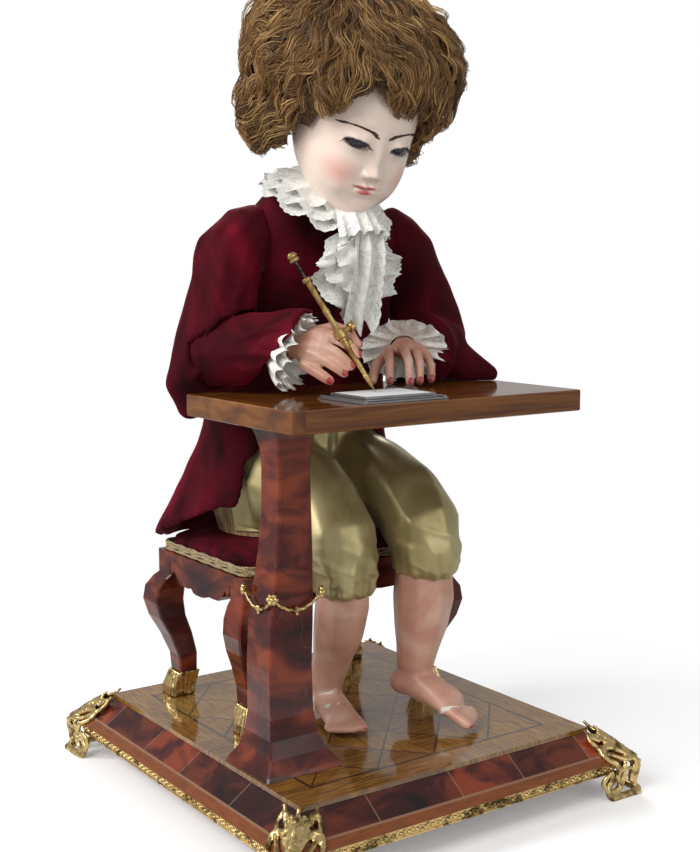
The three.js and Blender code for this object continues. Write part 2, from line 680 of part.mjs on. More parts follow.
// Paper carriage: bed, line slide, letter slide and card
const bedFoot = TABLE_TOP + FIT;
const slideFoot = bedFoot + PLATE_STACK + SLIDE_GAP;
const trayFoot = slideFoot + PLATE_STACK + SLIDE_GAP;
const cardFoot = trayFoot + PLATE_STACK + FIT;
function slab(halfWidth, halfDepth, foot, thickness) {
  const [x, y] = [CARRIAGE_X, CARRIAGE_Y];
  return box(x - halfWidth, x + halfWidth, y - halfDepth, y + halfDepth, foot, foot + thickness);
}
const bedRails = [-1, 1].map((side) => {
  const inner = SLIDE_HALF_WIDTH + SLIDE_GAP;
  const [near, far] = [CARRIAGE_X + side * inner, CARRIAGE_X + side * (inner + GUIDE_WIDTH)];
  const top = slideFoot + GUIDE_RISE;
  return box(Math.min(near, far), Math.max(near, far), CARRIAGE_Y - BED_HALF_DEPTH,
    CARRIAGE_Y + BED_HALF_DEPTH, bedFoot, top);
});
add("carriage_bed", join([slab(BED_HALF_WIDTH, BED_HALF_DEPTH, bedFoot, PLATE_STACK), ...bedRails]), steel);
add("line_slide", slab(SLIDE_HALF_WIDTH, SLIDE_HALF_DEPTH, slideFoot, PLATE_STACK), steel);
const tray = slab(TRAY_HALF_WIDTH, TRAY_HALF_DEPTH, trayFoot, PLATE_STACK + CARD_THICKNESS + FIT);
const trayWell = slab(CARD_HALF_WIDTH + FIT, CARD_HALF_DEPTH + FIT, trayFoot + PLATE_STACK, OVERRUN);
add("letter_slide", tray.subtract(trayWell), steel);
add("paper_card", slab(CARD_HALF_WIDTH, CARD_HALF_DEPTH, cardFoot, CARD_THICKNESS), paper);
const paperTop = cardFoot + CARD_THICKNESS;

// Stool: frame with scalloped aprons, four cabriole legs, four sabots
const postInset = POST_HALF * 2 + FIT;
const railFoot = RAIL_TOP - RAIL_HEIGHT;
const APRON_EDGE = [
  [0, 0.3], [0.03, 0.5], [0.07, 0.3], [0.12, 0.62], [0.18, 0.84], [0.3, 0.86], [0.37, 0.8],
  [0.4, 0.95], [0.45, 1], [0.55, 1], [0.6, 0.95], [0.63, 0.8], [0.7, 0.86], [0.82, 0.84],
  [0.88, 0.62], [0.93, 0.3], [0.97, 0.5], [1, 0.3],
];
function apron(halfSpan, away, turn) {
  const top = [[halfSpan, RAIL_HEIGHT / 2], [-halfSpan, RAIL_HEIGHT / 2]];
  const edge = APRON_EDGE.map(([t, drop]) => [mix(-halfSpan, halfSpan, t), -APRON_DROP * drop]);
  const board = plate([...edge, ...top], 0, RAIL_THICKNESS);
  return board.rotate([90, 0, 0]).translate([0, away, railFoot]).rotate([0, 0, turn]).translate([0, STOOL_Y, 0]);
}
const railOuter = boxRing(0, STOOL_Y, railFoot, SEAT_HALF_WIDTH, SEAT_HALF_DEPTH, PEDESTAL_CHAMFER);
const railInner = boxRing(0, STOOL_Y, railFoot - OVERRUN, SEAT_HALF_WIDTH - RAIL_THICKNESS,
  SEAT_HALF_DEPTH - RAIL_THICKNESS, PEDESTAL_CHAMFER);
const raise = (ring, by) => ring.map((p) => p.clone().setZ(p.z + by));
const ringRail = skin([railOuter, raise(railOuter, RAIL_HEIGHT)])
  .subtract(skin([railInner, raise(railInner, RAIL_HEIGHT + OVERRUN * 2)]));
add(
  "stool_frame",
  join([
    ringRail,
    apron(SEAT_HALF_WIDTH - postInset, SEAT_HALF_DEPTH, 0),
    apron(SEAT_HALF_WIDTH - postInset, SEAT_HALF_DEPTH, 180),
    apron(SEAT_HALF_DEPTH - postInset, SEAT_HALF_WIDTH, 90),
    apron(SEAT_HALF_DEPTH - postInset, SEAT_HALF_WIDTH, -90),
  ]),
  mahogany,
);
// Shares of the leg's height, its outward swing and its half-thickness, from the foot up
const LEG_PROFILE = [
  [0, 0, 0.82], [0.05, -0.1, 0.84], [0.17, -0.55, 0.78], [0.3, -0.5, 0.84], [0.45, 0.05, 0.98],
  [0.58, 0.72, 1.12], [0.7, 1, 1.22], [0.8, 0.85, 1.2], [0.88, 0.3, 1.1], [0.91, 0, 1], [1, 0, 1],
];
const legFoot = PLINTH_TOP + FIT + SABOT_WALL + FIT;
const legHeight = railFoot - FIT - legFoot;
function stoolLeg(sx, sy, grow, low = 0) {
  return skin(
    LEG_PROFILE.map(([up, swing, thick], i) => {
      const half = POST_HALF * thick + grow;
      const x = sx * (SEAT_HALF_WIDTH - POST_HALF + swing * KNEE_BULGE);
      const y = STOOL_Y + sy * (SEAT_HALF_DEPTH - POST_HALF + swing * KNEE_BULGE);
      return boxRing(x, y, legFoot + legHeight * up - (i === 0 ? low : 0), half, half, PEDESTAL_CHAMFER);
    }),
  );
}
const STOOL_CORNERS = [
  ["front_right", -1, -1],
  ["front_left", 1, -1],
  ["back_right", -1, 1],
  ["back_left", 1, 1],
];
const sabotFloor = PLINTH_TOP + FIT;
for (const [where, sx, sy] of STOOL_CORNERS) {
  add(`stool_leg_${where}`, stoolLeg(sx, sy, 0), mahogany);
  const reach = SEAT_HALF_WIDTH * 2;
  const band = box(-reach, reach, -reach, reach, sabotFloor, sabotFloor + SABOT_HEIGHT);
  const cup = stoolLeg(sx, sy, FIT + SABOT_WALL, OVERRUN).intersect(band);
  add(`sabot_${where}`, mainBody(cup.subtract(stoolLeg(sx, sy, FIT, FIT))), gilt);
}

// Seat pad with a crowned top and drawn-in sides, and the braid round its foot
const padFoot = RAIL_TOP + FIT;
function padBody(grow, top = PAD_HEIGHT) {
  const rows = [[0, 0.972], [0.2, 0.965], [0.42, 0.985], [0.6, 0.99], [0.76, 0.96], [0.9, 0.87], [0.97, 0.72], [1, 0.45]];
  return skin(
    rows.map(([up, wide]) => {
      const w = (SEAT_HALF_WIDTH - PAD_INSET) * wide + grow;
      const d = (SEAT_HALF_DEPTH - PAD_INSET) * wide + grow;
      return levelRing(0, STOOL_Y, padFoot + up * top, w, d, 20, 7);
    }),
  );
}
add("seat_pad", padBody(0), velvet);
const braidOuter = levelRing(0, STOOL_Y, padFoot, SEAT_HALF_WIDTH - PAD_INSET + FIT + BRAID_THICKNESS,
  SEAT_HALF_DEPTH - PAD_INSET + FIT + BRAID_THICKNESS, 20, 7);
const braidInner = raise(levelRing(0, STOOL_Y, padFoot, SEAT_HALF_WIDTH - PAD_INSET + FIT,
  SEAT_HALF_DEPTH - PAD_INSET + FIT, 20, 7), -OVERRUN);
add(
  "seat_braid",
  skin([braidOuter, raise(braidOuter, BRAID_HEIGHT)])
    .subtract(skin([braidInner, raise(braidInner, BRAID_HEIGHT + OVERRUN * 2)])),
  brass,
);

// Each row: height, half-width, half-depth, middle y, rise towards the back, middle x
const COAT = [
  [204, 127, 88, 94, 0, 0], [262, 107, 74, 84, 0, 0], [300, 96, 62, 76, 0, -2],
  [338, 90, 52, 69, 0, -4], [358, 88, 50, 66, 0, -5], [392, 86, 50, 55, 0, -7], [430, 85, 49, 43, 0, -8],
  [486, 82, 43, 25, 0.1, -8], [504, 72, 39, 18, 0.22, -9], [516, 56, 35, 12, 0.36, -10], [523, 41, 31, 8, 0.45, -11],
];
function coatRings(grow, count, list = COAT) {
  return list.map(([z, w, d, y, rise, x], row) =>
    levelRing(x, y, z, w + grow, d + grow, count, row < 2 ? 2.7 : 2.3, (angle) => {
      const fall = Math.max(0, 1 - row / 3);
      const folds = 0.022 * Math.cos(angle * 9) + 0.014 * Math.cos(angle * 5 + 1);
      return 1 + fall * folds;
    }).map((p) => p.setZ(p.z + (p.y - y) * rise)),
  );
}
const coatCount = 24;
const coatOuter = skin(coatRings(0, coatCount));
const stretch = (rings) => [raise(rings[0], -OVERRUN), ...rings, raise(rings[rings.length - 1], OVERRUN)];
const coatInner = skin(stretch(coatRings(-COAT_WALL, coatCount)));
const coatTop = COAT[COAT.length - 1][0];

// Body shell, closed at the top, hollow, with a door in its back
const shellRows = COAT.filter(([z], row) => row % 2 === 1).filter(([z]) => z > SHELL_FOOT && z < SHOULDER_Z + NECK_STEM_RADIUS * 2.5);
const TUCK_WIDTH = 22;
const TUCK_DEPTH = 12;
const SHELL = [
  [SHELL_FOOT, 76, 54, 76, 0, 0],
  ...shellRows.map(([z, w, d, y, , x]) => {
    const tuck = Math.max(0, (TUCK_TOP - z) / (TUCK_TOP - SHELL_FOOT));
    const ease = COAT_WALL + COAT_EASE;
    return [z, w - ease - TUCK_WIDTH * tuck, d - ease - TUCK_DEPTH * tuck, y + tuck, 0, x];
  }),
];
const plain = (list, grow) => list.map(([z, w, d, y, , x]) => levelRing(x, y, z, w + grow, d + grow, 24, 2.3));
const shellTopZ = SHELL[SHELL.length - 1][0];
const shellOuter = (grow) => skin(plain(SHELL, grow));
const shellCavityRows = SHELL.map(([z, ...rest], i) => [
  i === 0 ? z + SHELL_WALL : i === SHELL.length - 1 ? z - SHELL_WALL : z, ...rest,
]);
const shellInner = skin(plain(shellCavityRows, -SHELL_WALL));
// The door's hinge lies along the slope of the back, at the doll's left edge of the opening
const doorTop = DOOR_FOOT + DOOR_HEIGHT;
const hingeX = DOOR_HALF_WIDTH + DOOR_GAP / 2;
const SQUARENESS = 2.3;
const backAt = (z) => {
  const row = COAT.findIndex(([height]) => height > z);
  const outer = ([, w, d, y, , x]) => y + d * (1 - ((hingeX - x) / w) ** SQUARENESS) ** (1 / SQUARENESS);
  const [low, high] = [COAT[row - 1], COAT[row]];
  return mix(outer(low), outer(high), (z - low[0]) / (high[0] - low[0]));
};
const hingeLow = vec(hingeX, backAt(DOOR_FOOT) + HINGE_PROUD, DOOR_FOOT);
const hingeHigh = vec(hingeX, backAt(doorTop) + HINGE_PROUD, doorTop);
const alongHinge = (t) => hingeLow.clone().lerp(hingeHigh, t);
const hingeWay = hingeHigh.clone().sub(hingeLow).normalize();
const outOfBack = vec(0, hingeWay.z, -hingeWay.y);
// A block whose ends lie square to the hinge, so that it can turn about it without rising
function hingeBlock([from, to], [lowX, highX], outward, inward, grow) {
  const ring = (t, by) => {
    const at = alongHinge(t).setX(0).addScaledVector(hingeWay, by);
    const corner = (x, out) => at.clone().addScaledVector(outOfBack, out).add(vec(x, 0, 0));
    return [corner(lowX, outward), corner(highX, outward), corner(highX, -inward), corner(lowX, -inward)];
  };
  return skin([ring(from, -grow), ring(to, grow)]);
}
function doorBox(grow, freeEdge = 0) {
  const half = DOOR_HALF_WIDTH + grow;
  return hingeBlock([0, 1], [freeEdge - half, half], OVERRUN * 2, DOOR_DEPTH, grow);
}
const knuckle = (from, to, radius = HINGE_RADIUS, over = 0) =>
  rod(alongHinge(from).addScaledVector(hingeWay, -over), alongHinge(to).addScaledVector(hingeWay, over), radius, 8);
// A leaf reaches from a knuckle through the coat to the shell, on the door's side or the body's side
const leaf = (from, to, side, grow) => {
  const reach = [hingeX - side * grow, hingeX + side * (HINGE_LEAF + grow)].sort((a, b) => a - b);
  return hingeBlock([from, to], reach, HINGE_RADIUS + grow, HINGE_DEPTH, grow);
};
const DOOR_KNUCKLES = [[0.2, 0.3], [0.7, 0.8]];
const BODY_KNUCKLES = [[0.31, 0.4], [0.6, 0.69]];
const pinHole = knuckle(0, 1, HINGE_PIN_RADIUS + FIT);
const hingeParts = (list, side) =>
  join(list.map(([from, to]) => knuckle(from, to).add(leaf(from, to, side, 0))));
const hingeSpace = (list, side, gap = RUN) =>
  join(list.map(([from, to]) => knuckle(from, to, HINGE_RADIUS + gap, gap).add(leaf(from, to, side, gap))));
const hingePin = knuckle(0.19, 0.81, HINGE_PIN_RADIUS);
const pinSpace = knuckle(0.18, 0.82, HINGE_PIN_RADIUS + RUN);
const coatHingeSpace = join([hingeSpace(DOOR_KNUCKLES, -1), hingeSpace(BODY_KNUCKLES, 1), pinSpace]);
// The coat's back panel is fastened to the door's own leaves, so it only fits round them
const panelHingeSpace = join([hingeSpace(DOOR_KNUCKLES, -1, FIT), hingeSpace(BODY_KNUCKLES, 1), pinSpace]);
const SHOULDERS = [[-1, SHOULDER_X, SHOULDER_Y], [1, LEFT_SHOULDER_X, LEFT_SHOULDER_Y]];
const armPinHoles = join(SHOULDERS.map(([side, x, y]) =>
  rod(vec(0, y, SHOULDER_Z), vec(side * (x + OVERRUN), y, SHOULDER_Z), SHOULDER_PIN_RADIUS + RUN, 8)));
const neckBase = shellTopZ + FIT;
const stemHole = rod(vec(NECK_X, NECK_Y, shellTopZ - OVERRUN), vec(NECK_X, NECK_Y, shellTopZ + OVERRUN),
  NECK_STEM_RADIUS + RUN);
const hollowShell = shellOuter(0).subtract(shellInner);
const shellWithHoles = hollowShell.subtract(doorBox(DOOR_GAP)).subtract(armPinHoles).subtract(stemHole);
add("torso_shell", mainBody(shellWithHoles.subtract(hingeSpace(DOOR_KNUCKLES, -1))
  .add(hingeParts(BODY_KNUCKLES, 1).subtract(shellInner)).add(hingePin)), carvedWood);
const doorPanel = hollowShell.intersect(doorBox(0, DOOR_SWING)).subtract(hingeSpace(BODY_KNUCKLES, 1));
add("back_door", mainBody(doorPanel.add(hingeParts(DOOR_KNUCKLES, -1).subtract(pinHole).subtract(shellInner))), carvedWood);

// Coat: an open-fronted shell, its hem rising to the front, with armholes and a lift-away back
const hemTool = skin(
  [HEM_BACK_Y + OVERRUN, HEM_FRONT_Y - OVERRUN * 2].map((y) => {
    const t = (y - HEM_BACK_Y) / (HEM_FRONT_Y - HEM_BACK_Y);
    const top = mix(HEM_BACK_Z, HEM_FRONT_Z, t);
    const [w, low] = [SEAT_HALF_WIDTH + OVERRUN * 2, COAT[0][0] - OVERRUN * 2];
    return [vec(-w, y, low), vec(w, y, low), vec(w, y, top), vec(-w, y, top)];
  }),
);
const openingOutline = [
  [-OPENING_HALF_WIDTH, COAT[0][0] - OVERRUN], [OPENING_HALF_WIDTH, COAT[0][0] - OVERRUN],
  [OPENING_HALF_WIDTH * 1.02, OPENING_LOW_Z], [OPENING_HALF_WIDTH * 0.9, OPENING_MID_Z],
  [OPENING_HALF_WIDTH * 0.2, OPENING_TOP_Z], [-OPENING_HALF_WIDTH * 0.2, OPENING_TOP_Z],
  [-OPENING_HALF_WIDTH * 0.86, OPENING_MID_Z], [-OPENING_HALF_WIDTH * 0.98, OPENING_LOW_Z],
];
const openingReach = COAT[3][3];
const opening = plate(openingOutline, -openingReach, OVERRUN * 3).rotate([90, 0, 0]);
const armholes = join(SHOULDERS.map(([side, x, y]) =>
  rod(vec(side * x * 0.8, y, SHOULDER_Z), vec(side * (x + OVERRUN), y, SHOULDER_Z), SHOULDER_RADIUS + RUN * 2)));
const coatShell = coatOuter.subtract(coatInner).subtract(hemTool).subtract(opening)
  .subtract(armholes);
add("coat_body", mainBody(coatShell.subtract(doorBox(DOOR_GAP * 2)).subtract(coatHingeSpace)), velvet);
add("coat_back_panel", mainBody(coatShell.intersect(doorBox(DOOR_GAP / 2)).subtract(panelHingeSpace)), velvet);

// Neck: a stem in the body shell, a column and the ball the head sits on
const neckBall = vec(NECK_X, NECK_BALL_Y, NECK_BALL_Z);
const neckRoot = vec(NECK_X, NECK_Y, neckBase);
function neckColumn(radius) {
  return limb([{ at: neckRoot.clone().setZ(neckBase + radius * 0.62 + RUN * 6), wide: radius },
    { at: neckBall.clone(), wide: radius }], SIDES);
}
add(
  "neck_post",
  join([
    neckColumn(NECK_COLUMN_RADIUS),
    ball(neckBall, NECK_BALL_RADIUS, 12, 6),
    rod(neckRoot.clone().setZ(neckBase - SHELL_WALL - OVERRUN / 2), neckRoot.clone().setZ(neckBase + OVERRUN / 2),
      NECK_STEM_RADIUS),
  ]),
  carvedWood,
);

// The head's own axes, placed on the body
const headTurn = new THREE.Matrix4()
  .makeTranslation(HEAD_X, HEAD_Y, HEAD_Z)
  .multiply(new THREE.Matrix4().makeRotationZ(THREE.MathUtils.degToRad(HEAD_YAW)))
  .multiply(new THREE.Matrix4().makeRotationX(THREE.MathUtils.degToRad(HEAD_NOD)))
  .multiply(new THREE.Matrix4().makeRotationY(THREE.MathUtils.degToRad(HEAD_ROLL)));
const onHead = (x, y, z) => vec(x, y, z).applyMatrix4(headTurn);
const inHead = (geometry) => solidOf(geometry.clone().applyMatrix4(headTurn));
// Rows of the head in its own axes: height, half-width, front y, back y
const HEAD_ROWS = [
  [66, 7, -6, 10], [60, 25, -22, 28], [47, 39, -39, 43], [32, 46, -48, 53], [17, 49, -52, 58], [3, 49.5, -53.5, 59],
  [-10, 49.5, -55, 57], [-22, 48.5, -56, 51], [-33, 46, -56, 42], [-44, 41, -55, 31], [-54, 33, -53, 18],
  [-62, 21, -48, 4], [-66, 8, -40, -10],
];
// Features of the face: x, z, half-width, half-height, how far they stand forward
const FEATURES = [
  [0, -18, 6, 6, 10], [0, -6, 5, 11, 6], [0, -34, 10, 6, 3], [0, -56, 12, 7, 4], [25, -22, 14, 14, 2.5],
  [-25, -22, 14, 14, 2.5], [EYE_SPREAD, EYE_RISE, 11, 7, -3], [-EYE_SPREAD, EYE_RISE, 11, 7, -3],
];
function headBody(grow, count, features) {
  return skin(
    HEAD_ROWS.map(([z, half, front, back], row) => {
      const away = row < 2 ? grow : row > HEAD_ROWS.length - 3 ? -grow : 0;
      const ring = levelRing(0, (front + back) / 2, z + away, half + grow, (back - front) / 2 + grow, count, 2.15);
      for (const p of features ? ring : []) {
        if (p.y > 0) continue;
        for (const [x, up, wide, tall, forward] of FEATURES) {
          p.y -= forward * Math.exp(-(((p.x - x) / wide) ** 2) - ((z - up) / tall) ** 2);
        }
      }
      return ring.map((p) => p.applyMatrix4(headTurn));
    }),
  );
}
const eyeAt = (side) => onHead(side * EYE_SPREAD, -EYE_FORWARD, EYE_RISE);
const headOpen = rod(neckBall, neckBall.clone().lerp(neckRoot, 1.6), NECK_BALL_RADIUS * 1.04, SIDES);
add(
  "head",
  mainBody(
    headBody(0, 18, true)
      .subtract(ball(neckBall, NECK_BALL_RADIUS + RUN, 12, 6))
      .subtract(headOpen)
      .subtract(ball(eyeAt(-1), EYE_RADIUS + RUN, 10, 6))
      .subtract(ball(eyeAt(1), EYE_RADIUS + RUN, 10, 6)),
  ),
  face,
);
add("eye_right", ball(eyeAt(-1), EYE_RADIUS, 10, 6), eyeGlass);
add("eye_left", ball(eyeAt(1), EYE_RADIUS, 10, 6), eyeGlass);

// Wig: a curled mass over the crown and a bunch of curls behind each ear, open at the face
function curledMass([x, y, z, wide, deep, tall], around, rows) {
  const sphere = new THREE.SphereGeometry(1, around, rows);
  sphere.rotateX(Math.PI / 2);
  const at = sphere.attributes.position;
  for (let i = 0; i < at.count; i++) {
    const p = vec().fromBufferAttribute(at, i);
    const curl = Math.sin(p.x * 9 + 2 * p.z) * Math.cos(p.y * 8 + p.x) * Math.cos(p.z * 9);
    const r = 1 + (CURL_DEPTH / wide) * curl;
    at.setXYZ(i, x + p.x * wide * r, y + p.y * deep * r, z + p.z * tall * r);
  }
  return inHead(sphere);
}
const faceWindow = new THREE.SphereGeometry(1, 12, 8);
faceWindow.scale(HEAD_HALF_WIDTH * 1.02, HEAD_HALF_DEPTH, HEAD_HALF_HEIGHT * 1.1);
faceWindow.translate(0, -HEAD_HALF_DEPTH * 1.12, BROW_CLEAR - HEAD_HALF_HEIGHT * 1.08);
add("wig", mainBody(join([curledMass(WIG_CROWN, 20, 14), curledMass(WIG_RIGHT_CURLS, 10, 8),
  curledMass(WIG_LEFT_CURLS, 10, 8)]).subtract(headBody(RUN * 3, 16, false)).subtract(inHead(faceWindow))), hair);

// Right arm in three carved pieces: it reaches, sweeps at the elbow and lifts at the wrist
const elbow = vec(ELBOW_X, ELBOW_Y, ELBOW_Z);
const wrist = vec(WRIST_X, WRIST_Y, WRIST_Z);
const shoulder = vec(-SHOULDER_X - SHOULDER_RADIUS * 0.6, SHOULDER_Y, SHOULDER_Z);
const leftShoulder = vec(LEFT_SHOULDER_X + SHOULDER_RADIUS * 0.6, LEFT_SHOULDER_Y, SHOULDER_Z);
const between = (a, b, t) => a.clone().lerp(b, t);
const paperTip = vec(PEN_TIP_X, PEN_TIP_Y, paperTop + FIT);
const penRun = vec(PEN_RUN_X, PEN_RUN_Y, PEN_RUN_Z).normalize();
const alongPen = (distance) => paperTip.clone().addScaledVector(penRun, distance);
const elbowPin = (radius, over) => rod(elbow.clone(), elbow.clone().setZ(ELBOW_Z + ELBOW_PIN_LENGTH + over), radius, 8);
const shoulderPin = ([side, x, y], arm) =>
  rod(vec(side * x, y, SHOULDER_Z), vec(side * (x - OVERRUN * 1.4), y, SHOULDER_Z), SHOULDER_PIN_RADIUS, 8).add(arm);
const upperLimb = limb(
  [
    { at: shoulder, wide: SHOULDER_RADIUS },
    { at: between(shoulder, elbow, 0.45), wide: ARM_RADIUS },
    { at: between(shoulder, elbow, 0.79), wide: ARM_RADIUS },
  ],
  ARM_SIDES, vec(1, 0, 0), false,
);
add(
  "right_upper_arm",
  mainBody(
    shoulderPin(SHOULDERS[0], join([upperLimb, ball(shoulder, SHOULDER_RADIUS)]))
      .subtract(ball(elbow, ELBOW_BALL_RADIUS + RUN, 12, 6))
      .subtract(elbowPin(ELBOW_PIN_RADIUS + RUN, RUN)),
  ),
  carvedWood,
);
const forearmLimb = limb(
  [
    { at: elbow, wide: ELBOW_BALL_RADIUS * 0.96 },
    { at: between(elbow, wrist, 0.4), wide: ARM_RADIUS },
    { at: between(elbow, wrist, 0.96), wide: WRIST_RADIUS },
  ],
  ARM_SIDES, vec(0, 0, 1), false,
);
add(
  "right_forearm",
  mainBody(
    join([forearmLimb, ball(elbow, ELBOW_BALL_RADIUS, 12, 6), elbowPin(ELBOW_PIN_RADIUS, 0)])
      .subtract(ball(wrist, WRIST_BALL_RADIUS + RUN, 10, 6)),
  ),
  carvedWood,
);

// Hands: a palm with fingers bent through three joints each, and a thumb
function stationsOf(rows, grow = 0) {
  return rows.map(([x, y, z, wide, thick]) => ({ at: vec(x, y, z), wide: wide + grow, thick: thick + grow }));
}
function finger(points, radius = FINGER_RADIUS) {
  return limb(points.map(([x, y, z], i) => ({ at: vec(x, y, z), wide: radius * (1.14 - 0.09 * i) })), 5, vec(0, 0, 1));
}
const penTool = rod(alongPen(-OVERRUN), alongPen(PEN_LENGTH), PEN_TUBE_RADIUS + FIT, 12);
const rightPalm = limb(
  [
    { at: wrist, wide: WRIST_NECK, thick: WRIST_NECK },
    ...stationsOf(RIGHT_PALM),
  ],
  8, vec(0.3, 0.1, 0.95),
);
const rightHand = join([ball(wrist, WRIST_BALL_RADIUS, 10, 6), rightPalm, ...RIGHT_FINGERS.map((f) => finger(f)),
  finger(RIGHT_THUMB, FINGER_RADIUS * 1.1)]);
const forearmReach = limb(
  [{ at: between(elbow, wrist, 0.8), wide: WRIST_RADIUS + RUN }, { at: between(elbow, wrist, 0.93), wide: WRIST_RADIUS + RUN }],
  ARM_SIDES, vec(0, 0, 1), false,
);
const clampAt = PEN_LENGTH * 0.42;
const clampOut = vec(PEN_RUN_Z, 0, -PEN_RUN_X).normalize();
const clampCentre = alongPen(clampAt);
const clampTool = rod(alongPen(clampAt - CLAMP_WALL * 2), alongPen(clampAt + CLAMP_WALL * 2),
  PEN_TUBE_RADIUS + CLAMP_WALL + FIT * 2, 12)
  .add(rod(clampCentre, clampCentre.clone().addScaledVector(clampOut, CLAMP_REACH + RUN), CLAMP_WALL * 1.7 + FIT * 2));
add("right_hand", mainBody(rightHand.subtract(penTool).subtract(clampTool).subtract(forearmReach)), paintedSkin);

// Left arm: one carved piece from the shoulder to the fingertips
const leftElbow = vec(LEFT_ELBOW_X, LEFT_ELBOW_Y, LEFT_ELBOW_Z);
const leftWrist = vec(LEFT_WRIST_X, LEFT_WRIST_Y, LEFT_WRIST_Z);
const leftPalm = limb(stationsOf(LEFT_PALM), 8, vec(1, -0.3, -0.1));
const leftLimb = limb(
  [
    { at: leftShoulder, wide: SHOULDER_RADIUS },
    { at: between(leftShoulder, leftElbow, 0.5), wide: ARM_RADIUS },
    { at: leftElbow, wide: ARM_RADIUS },
  ],
  ARM_SIDES, vec(1, 0, 0),
);
const leftFore = limb(
  [
    { at: leftElbow, wide: ARM_RADIUS * 0.95 },
    { at: between(leftElbow, leftWrist, 0.5), wide: ARM_RADIUS * 0.95 },
    { at: between(leftElbow, leftWrist, 0.9), wide: WRIST_RADIUS },
    { at: leftWrist.clone(), wide: WRIST_RADIUS },
  ],
  ARM_SIDES, vec(0, 0, 1),
);
add("left_arm_and_hand", shoulderPin(SHOULDERS[1], join([ball(leftShoulder, SHOULDER_RADIUS), leftLimb, leftFore, leftPalm,
  ...LEFT_FINGERS.map((f) => finger(f)), finger(LEFT_THUMB, FINGER_RADIUS * 1.08)])), paintedSkin);

// Pen: nib, tube with a flange, sprung rod with a knob, and the clamp with its thumb screw
const nibEnd = PEN_LENGTH * 0.17;
const tubeEnd = PEN_LENGTH * 0.82;
add("pen_nib", turned(paperTip, alongPen(nibEnd), [[0, 0.35], [0.22, 0.9], [0.26, 1.5], [1, PEN_TUBE_RADIUS]]), gilt);
const tubeLength = tubeEnd - nibEnd - FIT;
add(
  "pen_tube",
  turned(alongPen(nibEnd + FIT), alongPen(tubeEnd), [
    [0, PEN_TUBE_RADIUS], [0.6, PEN_TUBE_RADIUS], [0.61, PEN_TUBE_RADIUS * 1.2], [0.65, PEN_TUBE_RADIUS * 1.2],
    [0.66, PEN_TUBE_RADIUS], [0.96, PEN_TUBE_RADIUS], [0.965, PEN_FLANGE_RADIUS], [1, PEN_FLANGE_RADIUS],
  ]).subtract(rod(alongPen(nibEnd + tubeLength * 0.3), alongPen(tubeEnd + OVERRUN), PEN_BORE_RADIUS)),
  brass,
);
add(
  "pen_rod",
  turned(alongPen(nibEnd + tubeLength * 0.5), alongPen(PEN_LENGTH), [
    [0, PEN_ROD_RADIUS], [0.94, PEN_ROD_RADIUS], [0.945, PEN_KNOB_RADIUS], [0.965, PEN_KNOB_RADIUS],
    [0.97, PEN_KNOB_RADIUS * 0.6], [0.98, PEN_KNOB_RADIUS * 0.85], [1, PEN_KNOB_RADIUS * 0.7],
  ], 10),
  steel,
);
const clampArm = turned(
  clampCentre.clone().addScaledVector(clampOut, PEN_TUBE_RADIUS + FIT),
  clampCentre.clone().addScaledVector(clampOut, CLAMP_REACH),
  [[0, CLAMP_WALL * 1.2], [0.6, CLAMP_WALL], [0.62, CLAMP_WALL * 1.7], [1, CLAMP_WALL * 1.7]], 8,
);
const clampRing = rod(alongPen(clampAt - CLAMP_WALL * 1.6), alongPen(clampAt + CLAMP_WALL * 1.6),
  PEN_TUBE_RADIUS + CLAMP_WALL);
add("pen_clamp", mainBody(join([clampRing, clampArm]).subtract(
  rod(alongPen(clampAt - OVERRUN), alongPen(clampAt + OVERRUN), PEN_TUBE_RADIUS + FIT))), brass);

// Legs: a bent leg, a foot and five toes each
function legOf(leg, foot, toes, grow, count) {
  return join([limb(stationsOf(leg, grow), count), limb(stationsOf(foot, grow), count), ...toes]);
}
// Toes fan from the ball of the foot: big toe first, each a share shorter than the last
function toesOf(base, ahead, across, down) {
  return [0, 1, 2, 3, 4].map((i) => {
    const radius = TOE_RADIUS * [1.35, 1, 0.95, 0.9, 0.8][i];
    const length = TOE_RADIUS * [3.9, 3.7, 3.3, 2.7, 2][i];
    const side = TOE_RADIUS * [2.6, 0.6, -1.0, -2.5, -3.7][i];
    const root0 = base.clone().addScaledVector(across, side).addScaledVector(down, radius - TOE_RADIUS);
    return limb([{ at: root0, wide: radius }, { at: root0.clone().addScaledVector(ahead, length), wide: radius * 0.92 }], 5);
  });
}
const rightAhead = vec(-0.24, -0.96, -0.06).normalize();
const leftAhead = vec(0.33, -0.86, -0.42).normalize();
const rightToes = toesOf(vec(...RIGHT_TOE_ROOT), rightAhead, vec(0.96, -0.24, 0), vec(0, 0, 1));
const leftToes = toesOf(vec(...LEFT_TOE_ROOT), leftAhead, vec(-0.93, -0.36, 0), vec(0, 0.3, 0.95));
const rightLeg = legOf(RIGHT_LEG, RIGHT_FOOT, rightToes, 0, 8);
const leftLeg = legOf(LEFT_LEG, LEFT_FOOT, leftToes, 0, 8);
add("leg_right", mainBody(rightLeg.subtract(shellOuter(FIT))), paintedSkin);
add("leg_left", mainBody(leftLeg.subtract(shellOuter(FIT))), paintedSkin);

